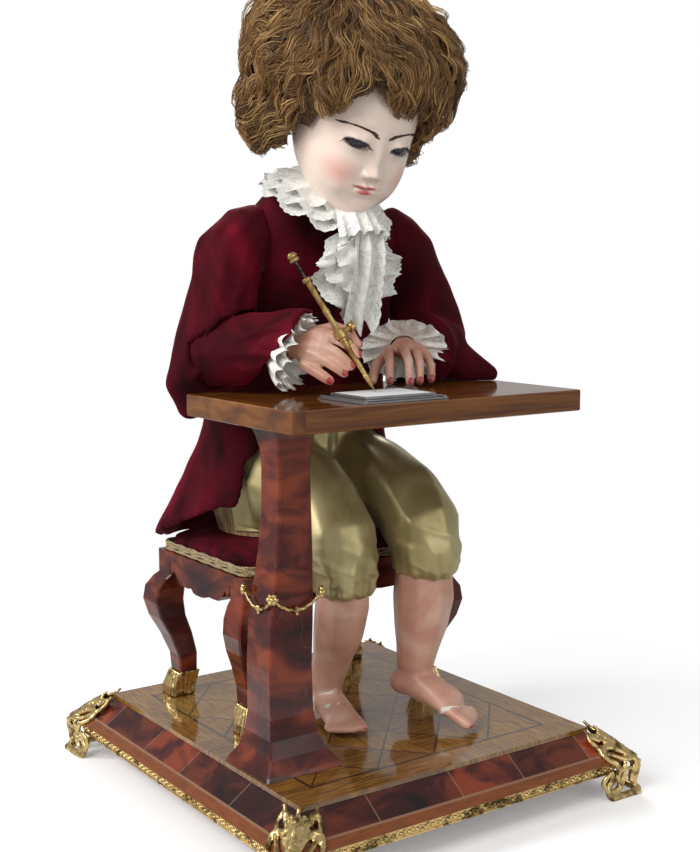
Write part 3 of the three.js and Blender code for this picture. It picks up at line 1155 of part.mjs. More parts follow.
// Breeches: full at the thighs, bent over the knees and gathered at the hems
function breechLeg(rows, hand) {
  const stations = rows.map(([x, y, z, wide, thick], i) => {
    const swell = 1 + 0.04 * Math.sin(i * 2.4 + hand);
    return { at: vec(x, y, z), wide: wide * swell, thick: thick * swell };
  });
  return limb(stations, 12, vec(1, 0, 0), false);
}
const legSpace = (rows) =>
  limb(
    [...rows.slice(0, 6), rows[6]].map(([x, y, z, wide, thick]) => ({
      at: vec(x, y, z), wide: wide + LEG_GAP, thick: thick + LEG_GAP,
    })),
    8,
  );
const WAIST_TOP = 334;
const WAIST_EASE = 3.5;
const waistRows = SHELL.filter(([z]) => z < WAIST_TOP);
const waistEdge = [...SHELL.find(([z]) => z >= WAIST_TOP)];
waistEdge[0] = WAIST_TOP;
const waistBand = skin(plain([...waistRows, waistEdge], WAIST_EASE));
const waistFront = box(-SEAT_HALF_WIDTH, SEAT_HALF_WIDTH, -SEAT_HALF_DEPTH, MOVEMENT_Y, SHELL_FOOT + RUN, WAIST_TOP);
const waist = waistBand.intersect(waistFront);
add(
  "breeches",
  mainBody(
    join([breechLeg(RIGHT_BREECH, 0), breechLeg(LEFT_BREECH, 1)])
      .add(waist)
      .subtract(legSpace(RIGHT_LEG))
      .subtract(legSpace(LEFT_LEG))
      .subtract(shellOuter(FIT))
      .subtract(padBody(FIT)),
  ),
  satin,
);

const aboveTable = box(-SEAT_HALF_WIDTH * 2, SEAT_HALF_WIDTH * 2, -SEAT_HALF_DEPTH * 3, SEAT_HALF_DEPTH * 3,
  TABLE_TOP - OVERRUN * 2, TABLE_TOP + FIT);

// Sleeves: the right one parts at the elbow, where its lower half turns inside the upper one
const station = ([x, y, z, wide, thick]) => ({ at: vec(x, y, z), wide, thick });
const UPPER_SLEEVE = [
  [-78, 23, 494, 26, 29], [-98, 23, 474, 29, 33], [-106, 22, 440, 30, 32], [-113, 20, 412, 31, 33],
  [-120, 27, 380, 33, 27], [-122, 41, 361, 32, 14], [-118, 44, 340, 22, 9],
];
const UPPER_LINING = [[-76, 23, 484, 20, 24], [-97, 23, 470, 26, 29], [-106, 22, 440, 27, 29], [-113, 20, 412, 28, 30],
  [-117, 20, 391, 28, 28]];
const mouthWay = wrist.clone().sub(elbow).normalize();
function lowerSleeve(grow, length = 0.84) {
  const tallShare = 1.05;
  const at = (t) => between(elbow, wrist, t);
  const wide = SLEEVE_BALL_RADIUS + grow;
  return limb(
    [
      { at: at(0), wide: wide * 0.98, thick: wide * 0.98 },
      { at: at(length * 0.5), wide: wide * tallShare, thick: wide },
      { at: at(length), wide: wide * 1.16, thick: wide * 1.05 },
      { at: at(length * 1.4), wide: wide * 1.16, thick: wide * 1.05 },
    ],
    grow > RUN ? 10 : 12, vec(0, 0, 1), false,
  ).add(ball(elbow, wide, grow > RUN ? 10 : 14, 8));
}
const elbowTurn = (solid, degrees) =>
  solid.translate([-elbow.x, -elbow.y, -elbow.z]).rotate([0, 0, degrees]).translate([elbow.x, elbow.y, elbow.z]);
const sleeveSweep = join([-SWEEP_CLOSE, (SWEEP_OPEN - SWEEP_CLOSE) / 2, SWEEP_OPEN].map((a) =>
  elbowTurn(lowerSleeve(RUN * 4), a)));
const upperHollow = limb(UPPER_LINING.map(station), 8, vec(1, 0, 0), false);
const coatTool = skin(coatRings(RUN, coatCount));
add(
  "sleeve_right_upper",
  mainBody(
    limb(UPPER_SLEEVE.map(station), 11, vec(1, 0, 0))
      .subtract(upperHollow).subtract(sleeveSweep).subtract(coatTool),
  ),
  velvet,
);
function lowerHollow(grow) {
  const radius = SLEEVE_BALL_RADIUS - SLEEVE_WALL + grow;
  return limb(
    [
      { at: between(elbow, wrist, 0.02), wide: radius - SLEEVE_WALL },
      { at: between(elbow, wrist, 0.42), wide: radius + SLEEVE_WALL / 2, thick: radius },
      { at: between(elbow, wrist, 1.1), wide: radius * 1.2, thick: radius * 1.1 },
    ],
    12, vec(0, 0, 1),
  );
}
const armWay = rod(elbow, shoulder, SLEEVE_BALL_RADIUS * 0.75);
// The mouth is cut on a slant: its upper edge reaches furthest towards the hand
const mouthNormal = vec(...MOUTH_NORMAL).normalize();
const pastMouth = (shift) => {
  const at = vec(...MOUTH_AT).addScaledVector(mouthNormal, shift);
  return rod(at, at.clone().addScaledVector(mouthNormal, OVERRUN * 4), SEAT_HALF_DEPTH, 6);
};
const lowerShell = (grow) => lowerSleeve(grow).subtract(lowerHollow(-grow)).subtract(pastMouth(grow));
add("sleeve_right_lower", mainBody(lowerShell(0).subtract(armWay).subtract(aboveTable)), velvet);
const LEFT_SLEEVE = [
  [72, 18, 490, 24, 28], [84, 17, 472, 28, 32], [98, 20, 442, 29, 32], [112, 22, 414, 30, 32],
  [118, 20, 390, 32, 32], [104, 8, 387, 33, 31], [84, -3, 387, 33, 31],
];
const LEFT_TIP = [[112, -2, 380, 22, 22], [130, -22, 370, 15, 14], [145, -40, 361, 6, 4]];
const LEFT_LINING = [[64, 18, 482, 20, 25], [80, 17, 466, 24, 29], [98, 20, 442, 26.5, 29.5], [112, 22, 414, 27.5, 29.5],
  [118, 20, 390, 29, 29.5], [104, 8, 388, 30, 28], [86, -2, 389, 30.5, 29], [62, -16, 390, 31, 30]];
const turning = vec(0.6, 0, 0.8);
function leftSleeveLimb(rows, count) {
  const upper = limb(rows.slice(0, 5).map(station), count, vec(1, 0, 0));
  return upper.add(limb(rows.slice(4).map(station), count, vec(0, 0, 1), false));
}
const leftOuter = leftSleeveLimb(LEFT_SLEEVE, 12).add(limb(LEFT_TIP.map(station), 8, turning));
const leftInner = leftSleeveLimb(LEFT_LINING, 10);
add("sleeve_left", mainBody(leftOuter.subtract(leftInner).subtract(coatTool).subtract(aboveTable)), velvet);

// Lace: frills whose edge waves, made as one thin closed band
function frill(centre, axis, upHint, [innerWide, innerTall], [outerWide, outerTall], back, front, count, waves, depth) {
  const along = axis.clone().normalize();
  const over = upHint.clone().addScaledVector(along, -upHint.dot(along)).normalize();
  const side = over.clone().cross(along);
  return hoop(
    Array.from({ length: count }, (_, i) => {
      const angle = (TURN * i) / count;
      const wave = Math.sin(angle * waves);
      const place = (wide, tall, s) =>
        centre.clone()
          .addScaledVector(side, Math.cos(angle) * wide)
          .addScaledVector(over, Math.sin(angle) * tall)
          .addScaledVector(along, s);
      const out = 1 + 0.04 * Math.cos(angle * waves * 2);
      const edge = front + depth * wave;
      return [
        place(innerWide, innerTall, back),
        place(outerWide * out, outerTall * out, edge),
        place(outerWide * out, outerTall * out, edge + LACE_THICKNESS),
        place(innerWide, innerTall, back + LACE_THICKNESS * 1.3),
      ];
    }),
  );
}
const up = vec(0, 0, 1);
const cuffAt = between(elbow, wrist, 0.9);
const cuffWay = mouthWay.clone().addScaledVector(mouthNormal, 0.8);
const cuffRight = frill(cuffAt, cuffWay, up, [CUFF_INNER_RADIUS, CUFF_INNER_RADIUS], [CUFF_RADIUS, CUFF_RADIUS],
  -CUFF_BACK, CUFF_FRONT, 32, 8, CUFF_WAVE);
add("cuff_right", mainBody(cuffRight.subtract(lowerShell(RUN)).subtract(aboveTable)), lace);
const cuffLeft = frill(vec(...LEFT_CUFF_AT), vec(...LEFT_CUFF_WAY), up, [CUFF_INNER_RADIUS, CUFF_INNER_RADIUS * 0.92],
  [CUFF_RADIUS * 1.22, CUFF_RADIUS * 0.87], 0, CUFF_FRONT * 2, 32, 8, CUFF_WAVE);
add("cuff_left", mainBody(cuffLeft.subtract(aboveTable)), lace);
const collarUp = vec(COLLAR_TILT, -COLLAR_SLOPE, 1).normalize();
const headTool = headBody(RUN * 5, 16, false);
// The room that the head sweeps through as the neck turns either way
const headSweep = join([-NECK_SWING, 0, NECK_SWING].map((turn) =>
  headTool.translate([-NECK_X, -NECK_Y, 0]).rotate([0, 0, turn]).translate([NECK_X, NECK_Y, 0])));
add(
  "collar_ruffle",
  mainBody(frill(vec(COLLAR_X, COLLAR_Y, COLLAR_Z), collarUp, vec(0, 1, 0), [COLLAR_NECK_RADIUS, COLLAR_NECK_RADIUS],
    [COLLAR_HALF_WIDTH, COLLAR_HALF_DEPTH], -7, 1, 40, 10, 4).subtract(headSweep).subtract(skin(coatRings(RUN, coatCount)))),
  lace,
);
const JABOT = [
  [0, 0.4, 0.6, 0], [0.14, 0.66, 0.85, -3], [0.32, 0.96, 1, -5], [0.48, 1, 1, -5], [0.64, 0.82, 0.95, -3],
  [0.8, 0.52, 0.8, 1], [0.92, 0.3, 0.6, 4], [1, 0.14, 0.4, 6],
];
add(
  "jabot",
  skin(
    JABOT.map(([down, wide, thick, forward]) =>
      levelRing(COLLAR_X, JABOT_Y + forward, mix(JABOT_TOP_Z, JABOT_TIP_Z, down), JABOT_HALF_WIDTH * wide,
        JABOT_THICKNESS * thick, 26, 2.2, (angle) => 1 + 0.09 * Math.cos(angle * 8) + 0.05 * Math.sin(angle * 3)),
    ),
  ),
  lace,
);

// Movement: a pillared frame with the barrel, the cam stack, the fly and the selector wheel
const frameTop = MOVEMENT_FOOT + MOVEMENT_HEIGHT;
const gearSpan = (GEAR_MODULE * (WHEEL_TEETH + PINION_TEETH)) / 2;
const BARREL_AT = CAM_X + gearSpan;
const FLY_AT = CAM_X - gearSpan;
const at2 = (x, z) => vec(x, MOVEMENT_Y, z);
function gear(x, teeth, lowZ, thickness, phase) {
  const pitch = (GEAR_MODULE * teeth) / 2;
  const [rootRadius, tip] = [pitch - GEAR_MODULE * 1.2, pitch + GEAR_MODULE * 0.85];
  const outline = [];
  for (let i = 0; i < teeth; i++) {
    for (const [share, radius] of [[-0.27, rootRadius], [-0.12, tip], [0.12, tip], [0.27, rootRadius]]) {
      const angle = (TURN * (i + share + phase)) / teeth;
      outline.push([x + Math.cos(angle) * radius, MOVEMENT_Y + Math.sin(angle) * radius]);
    }
  }
  return plate(outline, lowZ, lowZ + thickness);
}
const arbor = (x, lowZ, highZ, radius = ARBOR_RADIUS) => rod(at2(x, lowZ), at2(x, highZ), radius, 8);
const framePlate = (z) =>
  skin([boxRing(0, MOVEMENT_Y, z, PLATE_HALF_WIDTH, PLATE_HALF_DEPTH, PILLAR_RADIUS * 2),
    boxRing(0, MOVEMENT_Y, z + PLATE_THICKNESS, PLATE_HALF_WIDTH, PLATE_HALF_DEPTH, PILLAR_RADIUS * 2)]);
const pillarX = PLATE_HALF_WIDTH - PILLAR_RADIUS * 1.2;
const pillarY = PLATE_HALF_DEPTH - PILLAR_RADIUS * 1.2;
const pillarFoot = SHELL_FOOT + SHELL_WALL + FIT;
const pillars = STOOL_CORNERS.map(([, sx, sy]) => {
  const [x, y] = [sx * pillarX, MOVEMENT_Y + sy * pillarY];
  return rod(vec(x, y, pillarFoot), vec(x, y, frameTop - FIT), PILLAR_RADIUS, 6);
});
const arborHoles = [BARREL_AT, CAM_X, FLY_AT].map((x) =>
  arbor(x, MOVEMENT_FOOT - OVERRUN, frameTop + OVERRUN, ARBOR_RADIUS + FIT));
const movementFrame = join([framePlate(MOVEMENT_FOOT), framePlate(frameTop - PLATE_THICKNESS), ...pillars]);
add("movement_frame", arborHoles.reduce((rest, hole) => rest.subtract(hole), movementFrame), brass);
const floorZ = MOVEMENT_FOOT + PLATE_THICKNESS;
const drumFoot = floorZ + DRUM_RISE;
const wheelZ = drumFoot + BARREL_HEIGHT + RUN;
const pinionOver = (PINION_THICKNESS - WHEEL_THICKNESS) / 2;
add(
  "mainspring_barrel",
  join([
    arbor(BARREL_AT, MOVEMENT_FOOT + FIT, frameTop - FIT),
    arbor(BARREL_AT, drumFoot, wheelZ, BARREL_RADIUS),
    arbor(BARREL_AT, drumFoot + FIT, wheelZ + WHEEL_THICKNESS + FIT, ARBOR_RADIUS * 2.4),
    gear(BARREL_AT, WHEEL_TEETH, wheelZ - FIT, WHEEL_THICKNESS + FIT, 0),
  ]),
  brass,
);
const topWheelZ = frameTop - PLATE_THICKNESS - 12;
const camFoot = wheelZ + PINION_THICKNESS + RUN * 3;
const selectorZ = MOVEMENT_FOOT - SELECTOR_DROP;
const cams = Array.from({ length: CAM_COUNT }, (_, c) => {
  const outline = Array.from({ length: SIDES }, (_, i) => {
    const angle = (TURN * i) / SIDES;
    const radius = CAM_RADIUS + CAM_THROW * Math.sin(angle * (1 + (c % 3)) + c);
    return [CAM_X + Math.cos(angle) * radius, MOVEMENT_Y + Math.sin(angle) * radius];
  });
  const low = camFoot + c * CAM_PITCH * 0.82;
  return plate(outline, low, low + CAM_PITCH * 0.3);
});
add(
  "cam_stack",
  join([
    arbor(CAM_X, selectorZ - pinionOver, frameTop - FIT),
    arbor(CAM_X, camFoot - RUN, topWheelZ + FIT, ARBOR_RADIUS * 3),
    gear(CAM_X, PINION_TEETH, wheelZ - pinionOver, PINION_THICKNESS, 0.5),
    gear(CAM_X, WHEEL_TEETH, topWheelZ, WHEEL_THICKNESS, 0),
    gear(CAM_X, PINION_TEETH, selectorZ - pinionOver, PINION_THICKNESS, 0),
    ...cams,
  ]),
  brass,
);
const blade = (side) =>
  box(Math.min(FLY_AT, FLY_AT + side * FLY_HALF_SPAN), Math.max(FLY_AT, FLY_AT + side * FLY_HALF_SPAN),
    MOVEMENT_Y - WHEEL_THICKNESS / 4, MOVEMENT_Y + WHEEL_THICKNESS / 4, floorZ + RUN * 4, floorZ + BARREL_HEIGHT);
add(
  "governor_fly",
  join([
    arbor(FLY_AT, MOVEMENT_FOOT + PLATE_THICKNESS * 0.6, frameTop - FIT),
    gear(FLY_AT, PINION_TEETH, topWheelZ - pinionOver, PINION_THICKNESS, 0.5),
    blade(-1),
    blade(1),
  ]),
  steel,
);
const pegs = Array.from({ length: SELECTOR_PEGS }, (_, i) => {
  const angle = (TURN * i) / SELECTOR_PEGS;
  const [x, y] = [FLY_AT + Math.cos(angle) * SELECTOR_RADIUS * 0.72, MOVEMENT_Y + Math.sin(angle) * SELECTOR_RADIUS * 0.72];
  return rod(vec(x, y, selectorZ - PINION_THICKNESS), vec(x, y, selectorZ + WHEEL_THICKNESS / 2), ARBOR_RADIUS * 0.6, 5);
});
add(
  "selector_wheel",
  join([
    arbor(FLY_AT, selectorZ, MOVEMENT_FOOT + PLATE_THICKNESS * 0.4),
    gear(FLY_AT, WHEEL_TEETH, selectorZ, WHEEL_THICKNESS, 0.5),
    ...pegs,
  ]),
  brass,
);

export default root;
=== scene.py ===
# Seated writing automaton doll: the looks of every piece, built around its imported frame
import math
import random

import bmesh
import bpy
from mathutils import Matrix, Vector, noise
from mathutils.bvhtree import BVHTree


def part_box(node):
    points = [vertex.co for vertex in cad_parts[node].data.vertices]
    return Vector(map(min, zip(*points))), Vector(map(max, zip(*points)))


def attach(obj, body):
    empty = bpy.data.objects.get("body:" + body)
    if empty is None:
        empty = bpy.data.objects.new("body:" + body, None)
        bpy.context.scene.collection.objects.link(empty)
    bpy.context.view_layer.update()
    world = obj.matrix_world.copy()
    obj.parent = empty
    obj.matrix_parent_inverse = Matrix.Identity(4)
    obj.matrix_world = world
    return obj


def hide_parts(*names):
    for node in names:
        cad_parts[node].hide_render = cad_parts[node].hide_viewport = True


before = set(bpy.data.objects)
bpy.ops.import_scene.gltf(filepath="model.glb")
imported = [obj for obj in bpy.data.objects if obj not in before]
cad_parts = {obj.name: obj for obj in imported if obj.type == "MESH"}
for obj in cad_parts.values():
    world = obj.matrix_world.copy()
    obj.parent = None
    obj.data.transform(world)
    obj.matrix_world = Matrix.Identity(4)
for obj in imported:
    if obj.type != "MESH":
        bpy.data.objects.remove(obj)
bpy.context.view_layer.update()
random.seed(7)

# The photographer's stand: a camera off the doll's right front corner, level with its hands.
# A long lens and a slight tilt down give the photograph's perspective of the plinth.
CAMERA_AT = (-0.6776, -0.9721, 0.4672)
CAMERA_AZIMUTH = -35.2767
CAMERA_PITCH = 7.0853
LENS_MM = 56.1
SENSOR_MM = 36

camera = bpy.data.objects.new("camera", bpy.data.cameras.new("camera"))
camera.data.sensor_fit = "VERTICAL"
camera.data.sensor_height = SENSOR_MM
camera.data.lens = LENS_MM
camera.data.clip_start = 0.05
camera.location = CAMERA_AT
camera.rotation_euler = (math.radians(90 - CAMERA_PITCH), 0, math.radians(CAMERA_AZIMUTH))
bpy.context.scene.collection.objects.link(camera)
bpy.context.scene.camera = camera
bpy.context.scene.view_settings.view_transform = "Standard"

# The studio: a pale floor that keeps the object's shadow, and a white surround.
# Large soft lamps stand left, right and behind, so that velvet, gilt and varnish all read.
FLOOR_HALF = 1.2
FLOOR_FADE = (0.30, 0.62)
FLOOR_COLOUR = (0.9, 0.9, 0.9, 1)
FLOOR_GLOW = 0.2
SURROUND_LIGHT = 0.38
SURROUND_MIRRORED = 0.42
WHITE = (1, 1, 1, 1)
# Each lamp's place, its size in metres and its power in watts
LAMPS = {
    "window_left": ((-1.75, -0.55, 1.5), 1.2, 29),
    "fill_front": ((0.35, -2.3, 0.95), 1.8, 11),
    "rim_back": ((1.0, 1.5, 1.5), 1.0, 20),
    "rim_left": ((-1.7, 0.75, 1.3), 0.55, 17),
}
LAMPS_AIM = Vector((0, 0, 0.42))


def put(beside, kind, values=None, **settings):
    """Adds a shader node to the tree that holds a node or socket, and fills its inputs."""
    tree = beside.id_data
    made = tree.nodes.new("ShaderNode" + kind)
    for name, setting in settings.items():
        setattr(made, name, setting)
    for name, value in (values or {}).items():
        if isinstance(value, bpy.types.NodeSocket):
            tree.links.new(value, made.inputs[name])
        else:
            made.inputs[name].default_value = value
    return made


def calc(how, *values):
    """One Math node over sockets and numbers; returns its value."""
    socket = next(value for value in values if isinstance(value, bpy.types.NodeSocket))
    return put(socket, "Math", dict(enumerate(values)), operation=how).outputs[0]


def times(first, second):
    """The product of two sockets, or of a socket and a number."""
    return calc("MULTIPLY", first, second)


def plus(first, second):
    """Their sum."""
    return calc("ADD", first, second)


def minus(first, second):
    """The first less the second."""
    return calc("SUBTRACT", first, second)


def remap(value, low, high, to_low=0.0, to_high=1.0):
    """Where a value lies between low and high, as 0 to 1 or on another scale."""
    values = {"Value": value, "From Min": low, "From Max": high, "To Min": to_low, "To Max": to_high}
    return put(value, "MapRange", values).outputs["Result"]


def wire(node, socket, value):
    """Links a value to one input of a node."""
    node.id_data.links.new(value, node.inputs[socket])


def finish_of(name, roughness, metallic=0.0, **sockets):
    """A material with its Principled shader; returns the material and the shader."""
    made = bpy.data.materials.new(name)
    made.use_nodes = True
    body = made.node_tree.nodes["Principled BSDF"]
    body.inputs["Roughness"].default_value = roughness
    body.inputs["Metallic"].default_value = metallic
    for socket, value in sockets.items():
        body.inputs[socket.replace("_", " ").title().replace("Ior", "IOR")].default_value = value
    return made, body


floor_mesh = bpy.data.meshes.new("floor")
floor_shape = bmesh.new()
bmesh.ops.create_grid(floor_shape, x_segments=2, y_segments=2, size=FLOOR_HALF)
floor_shape.to_mesh(floor_mesh)
floor_shape.free()
floor = bpy.data.objects.new("floor", floor_mesh)
bpy.context.scene.collection.objects.link(floor)
floor_finish, floor_body = finish_of("pale_floor", 0.9, base_color=FLOOR_COLOUR, emission_color=WHITE)
floor_seen = put(floor_body, "LightPath").outputs["Is Camera Ray"]
wire(floor_body, "Emission Strength", times(floor_seen, FLOOR_GLOW))
floor_place = put(floor_body, "TexCoord").outputs["Object"]
floor_far = put(floor_body, "VectorMath", {0: floor_place}, operation="LENGTH").outputs["Value"]
wire(floor_body, "Alpha", minus(1.0, remap(floor_far, *FLOOR_FADE)))
floor_mesh.materials.append(floor_finish)

surround = bpy.data.worlds.new("surround")
bpy.context.scene.world = surround
surround.use_nodes = True
background = surround.node_tree.nodes["Background"]
background.inputs["Color"].default_value = WHITE
rays = put(background, "LightPath").outputs
seen = calc("MAXIMUM", rays["Is Camera Ray"], times(rays["Is Glossy Ray"], SURROUND_MIRRORED))
wire(background, "Strength", calc("MAXIMUM", seen, SURROUND_LIGHT))

for lamp_name, (lamp_at, lamp_size, lamp_watts) in LAMPS.items():
    lamp_data = bpy.data.lights.new(lamp_name, "AREA")
    lamp_data.size = lamp_size
    lamp_data.energy = lamp_watts
    lamp = bpy.data.objects.new(lamp_name, lamp_data)
    lamp.location = lamp_at
    lamp.rotation_euler = (LAMPS_AIM - Vector(lamp_at)).to_track_quat("-Z", "Y").to_euler()
    bpy.context.scene.collection.objects.link(lamp)

# Plinth: a pine core with a hollow-curved side, veneered in figured dark red shell-like veneer.
# The veneer is laid in short lengths with pale joints, over a plain band along the foot.
VENEER_DARK = (0.012, 0.003, 0.003, 1)
VENEER_RED = (0.075, 0.009, 0.006, 1)
VENEER_BRIGHT = (0.23, 0.040, 0.014, 1)
VENEER_JOINT = (0.3, 0.17, 0.1, 1)
BAND_COLOUR = (0.30, 0.085, 0.022, 1)
BAND_TOP = 0.0370
STRINGING = 0.0012
# How much deeper than wide each half of the plinth is
HALF_DEPTH_OVER_WIDTH = 0.0125


def blend_colours(amount, first, second):
    """One colour Mix node; returns its colour."""
    return put(amount, "Mix", {0: amount, 6: first, 7: second}, data_type="RGBA").outputs[2]


def choose(amount, first, second):
    """One value Mix node; returns its value."""
    return put(amount, "Mix", {0: amount, 2: first, 3: second}).outputs[0]


def ramp(value, stops):
    """A colour ramp over (place, colour) stops; returns its colour."""
    made = put(value, "ValToRGB", {"Fac": value})
    elements = made.color_ramp.elements
    while len(elements) < len(stops):
        elements.new(0.5)
    for element, (place, colour) in zip(elements, stops):
        element.position = place
        element.color = colour
    return made.outputs["Color"]


def own_place(body, scale=(1, 1, 1), turn=(0, 0, 0)):
    """The piece's own coordinates in metres, scaled and turned by a Mapping node."""
    place = put(body, "TexCoord").outputs["Object"]
    return put(body, "Mapping", {"Vector": place, "Scale": scale, "Rotation": turn}).outputs["Vector"]


def mottle(place, scale, detail=4.0, distortion=0.0):
    """Soft noise over a place; returns its value."""
    values = {"Vector": place, "Scale": scale, "Detail": detail, "Distortion": distortion}
    return put(place, "TexNoise", values).outputs["Fac"]


def bump(body, height, strength, distance):
    """Raises a shader's surface by a height map, by a distance in metres."""
    values = {"Height": height, "Strength": strength, "Distance": distance}
    wire(body, "Normal", put(body, "Bump", values).outputs["Normal"])


def varnish_group():
    """Uneven gloss, with the fine scratches and dull patches that old varnish shows."""
    group = bpy.data.node_groups.new("old_varnish", "ShaderNodeTree")
    for name, way, kind in (
        ("Vector", "INPUT", "Vector"), ("Base", "INPUT", "Float"), ("Spread", "INPUT", "Float"),
        ("Roughness", "OUTPUT", "Float"), ("Height", "OUTPUT", "Float"),
    ):
        group.interface.new_socket(name, in_out=way, socket_type="NodeSocket" + kind)
    given = group.nodes.new("NodeGroupInput").outputs
    leave = group.nodes.new("NodeGroupOutput")
    patches = mottle(given["Vector"], 22, 5)
    values = {"Vector": given["Vector"], "Scale": (40, 9, 40), "Rotation": (0.4, 0.3, 0.9)}
    stretched = put(leave, "Mapping", values).outputs["Vector"]
    scratches = calc("GREATER_THAN", mottle(stretched, 9, 2, 2.0), 0.72)
    dull = plus(times(patches, given["Spread"]), times(scratches, 0.06))
    wire(leave, "Roughness", plus(given["Base"], dull))
    wire(leave, "Height", minus(patches, scratches))
    return group


old_varnish = varnish_group()


def varnish(body, base, spread, depth=0.00006):
    """Puts the old varnish on a shader: its uneven gloss and its slight relief."""
    values = {"Vector": own_place(body), "Base": base, "Spread": spread}
    made = put(body, "Group", values, node_tree=old_varnish)
    wire(body, "Roughness", made.outputs["Roughness"])
    bump(body, made.outputs["Height"], 0.5, depth)


def split(place):
    """The three coordinates of a place."""
    return put(place, "SeparateXYZ", {0: place}).outputs


def near(value, target, half):
    """1 where a value lies within half of a target, else 0."""
    return calc("COMPARE", value, target, half)


def figured_veneer(name, joints_per_metre, bright):
    """Dark red figured veneer in lengths with pale joints; returns material, shader and colour."""
    made, body = finish_of(name, 0.16, coat_weight=0.2, coat_roughness=0.06, specular_ior_level=0.35)
    place = own_place(body)
    x, y, _ = split(place)
    figure = mottle(own_place(body, (1, 1, 1.6)), 17, 7, 1.4)
    cloud = mottle(place, 6.5, 3, 0.4)
    value = plus(times(figure, 0.75), times(cloud, 0.45))
    stops = [(0.40, VENEER_DARK), (0.56, VENEER_RED), (0.66 + 0.1 * (1 - bright), VENEER_BRIGHT)]
    sideways = minus(calc("ABSOLUTE", y), calc("ABSOLUTE", x))
    on_front = calc("GREATER_THAN", sideways, HALF_DEPTH_OVER_WIDTH)
    lengths = {"W": choose(on_front, y, x), "Scale": joints_per_metre}
    cells = put(body, "TexVoronoi", lengths, voronoi_dimensions="1D").outputs["Color"]
    tone = plus(times(split(cells)[0], 0.9), 0.42)
    tinted = put(body, "VectorMath", {0: ramp(value, stops), 3: tone}, operation="SCALE").outputs["Vector"]
    edges = put(body, "TexVoronoi", lengths, voronoi_dimensions="1D", feature="DISTANCE_TO_EDGE")
    joint = calc("LESS_THAN", edges.outputs["Distance"], STRINGING * joints_per_metre / 2)
    return made, body, blend_colours(times(joint, 0.55), tinted, VENEER_JOINT)


plinth_finish, plinth_body, plinth_colour = figured_veneer("plinth_veneer", 15.0, 1.0)
plinth_height = split(own_place(plinth_body))[2]
band_grain = mottle(own_place(plinth_body, (1, 1, 9)), 60, 4, 0.5)
band_colour = blend_colours(times(band_grain, 0.75), BAND_COLOUR, VENEER_DARK)
on_band = calc("LESS_THAN", plinth_height, BAND_TOP)
banded = blend_colours(on_band, plinth_colour, band_colour)
on_line = near(plinth_height, BAND_TOP, STRINGING / 2)
wire(plinth_body, "Base Color", blend_colours(times(on_line, 0.7), banded, VENEER_JOINT))
varnish(plinth_body, 0.1, 0.16)


def dress(node, finish):
    """Gives a CAD node its finish."""
    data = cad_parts[node].data
    data.materials.clear()
    data.materials.append(finish)


dress("plinth_core", plinth_finish)

# Plinth top: a panel of golden marquetry, crossbanded round a field of pointed lozenges.
# Dark stringing parts the fields, and each field's grain runs its own way under one varnish.
panel_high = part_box("plinth_top_panel")[1]
FIELD_INSET = 0.028
MARQUETRY_LIGHT = (0.31, 0.160, 0.034, 1)
MARQUETRY_MID = (0.195, 0.090, 0.018, 1)
MARQUETRY_DEEP = (0.088, 0.034, 0.009, 1)
MARQUETRY_LINE = (0.022, 0.016, 0.009, 1)
field_half_x = panel_high.x - FIELD_INSET
field_half_y = panel_high.y - FIELD_INSET

marquetry, m_body = finish_of("marquetry", 0.1, coat_weight=0.5, coat_roughness=0.05)
m_x, m_y, _ = split(own_place(m_body))
m_u = calc("DIVIDE", calc("ABSOLUTE", m_x), field_half_x)
m_v = calc("DIVIDE", calc("ABSOLUTE", m_y), field_half_y)
m_sum = plus(m_u, m_v)
m_most = calc("MAXIMUM", m_u, m_v)
m_slant = minus(m_u, m_v)
on_field = calc("LESS_THAN", m_most, 1.0)
field_lines = [
    near(m_sum, 1.0, 0.012), near(m_sum, 0.52, 0.011),
    near(m_slant, 0.0, 0.008), near(m_sum, 1.48, 0.010),
    near(calc("ABSOLUTE", m_slant), 0.52, 0.010),
]
lines = field_lines[0]
for line in field_lines[1:]:
    lines = calc("MAXIMUM", lines, line)
border_line = near(m_most, 1.0, 0.011)
all_lines = calc("MAXIMUM", times(lines, on_field), border_line)
grain_along = mottle(own_place(m_body, (4, 60, 4), (0, 0, 0.5)), 12, 5, 0.6)
grain_across = mottle(own_place(m_body, (60, 4, 4), (0, 0, 0.5)), 12, 5, 0.6)
turned = calc("GREATER_THAN", times(m_x, m_y), 0.0)
outer = calc("GREATER_THAN", m_sum, 1.0)
swap = calc("ABSOLUTE", minus(turned, outer))
grain = choose(swap, grain_along, grain_across)
lift = plus(grain, times(minus(swap, 0.5), 0.09))
wood = ramp(lift, [(0.30, MARQUETRY_DEEP), (0.48, MARQUETRY_MID), (0.66, MARQUETRY_LIGHT)])
wood_lined = blend_colours(times(all_lines, 0.88), wood, MARQUETRY_LINE)
wire(m_body, "Base Color", wood_lined)
varnish(m_body, 0.05, 0.12, 0.00005)
dress("plinth_top_panel", marquetry)

# Gilt bronze: a pearl-and-leaf strip along each side of the plinth, and its cast corner mounts.
# The castings are chased and fire-gilt, bright where they are rubbed, and darker brown in patches placed by noise
# that stand both for worn gilding and for painted shade in their hollows.
GILT_BRIGHT = (0.70, 0.52, 0.235, 1)
GILT_DULL_AND_SHADE = (0.15, 0.095, 0.035, 1)
PEARL_PITCH = 0.0078
PEARL_RADIUS = 0.0021
LEAF_LENGTH = 0.0030
# How far the strip lies behind the tops of its pearls
PEARL_SEAT = 0.0022


def grey(level):
    """A neutral colour of one lightness."""
    return (level, level, level, 1)


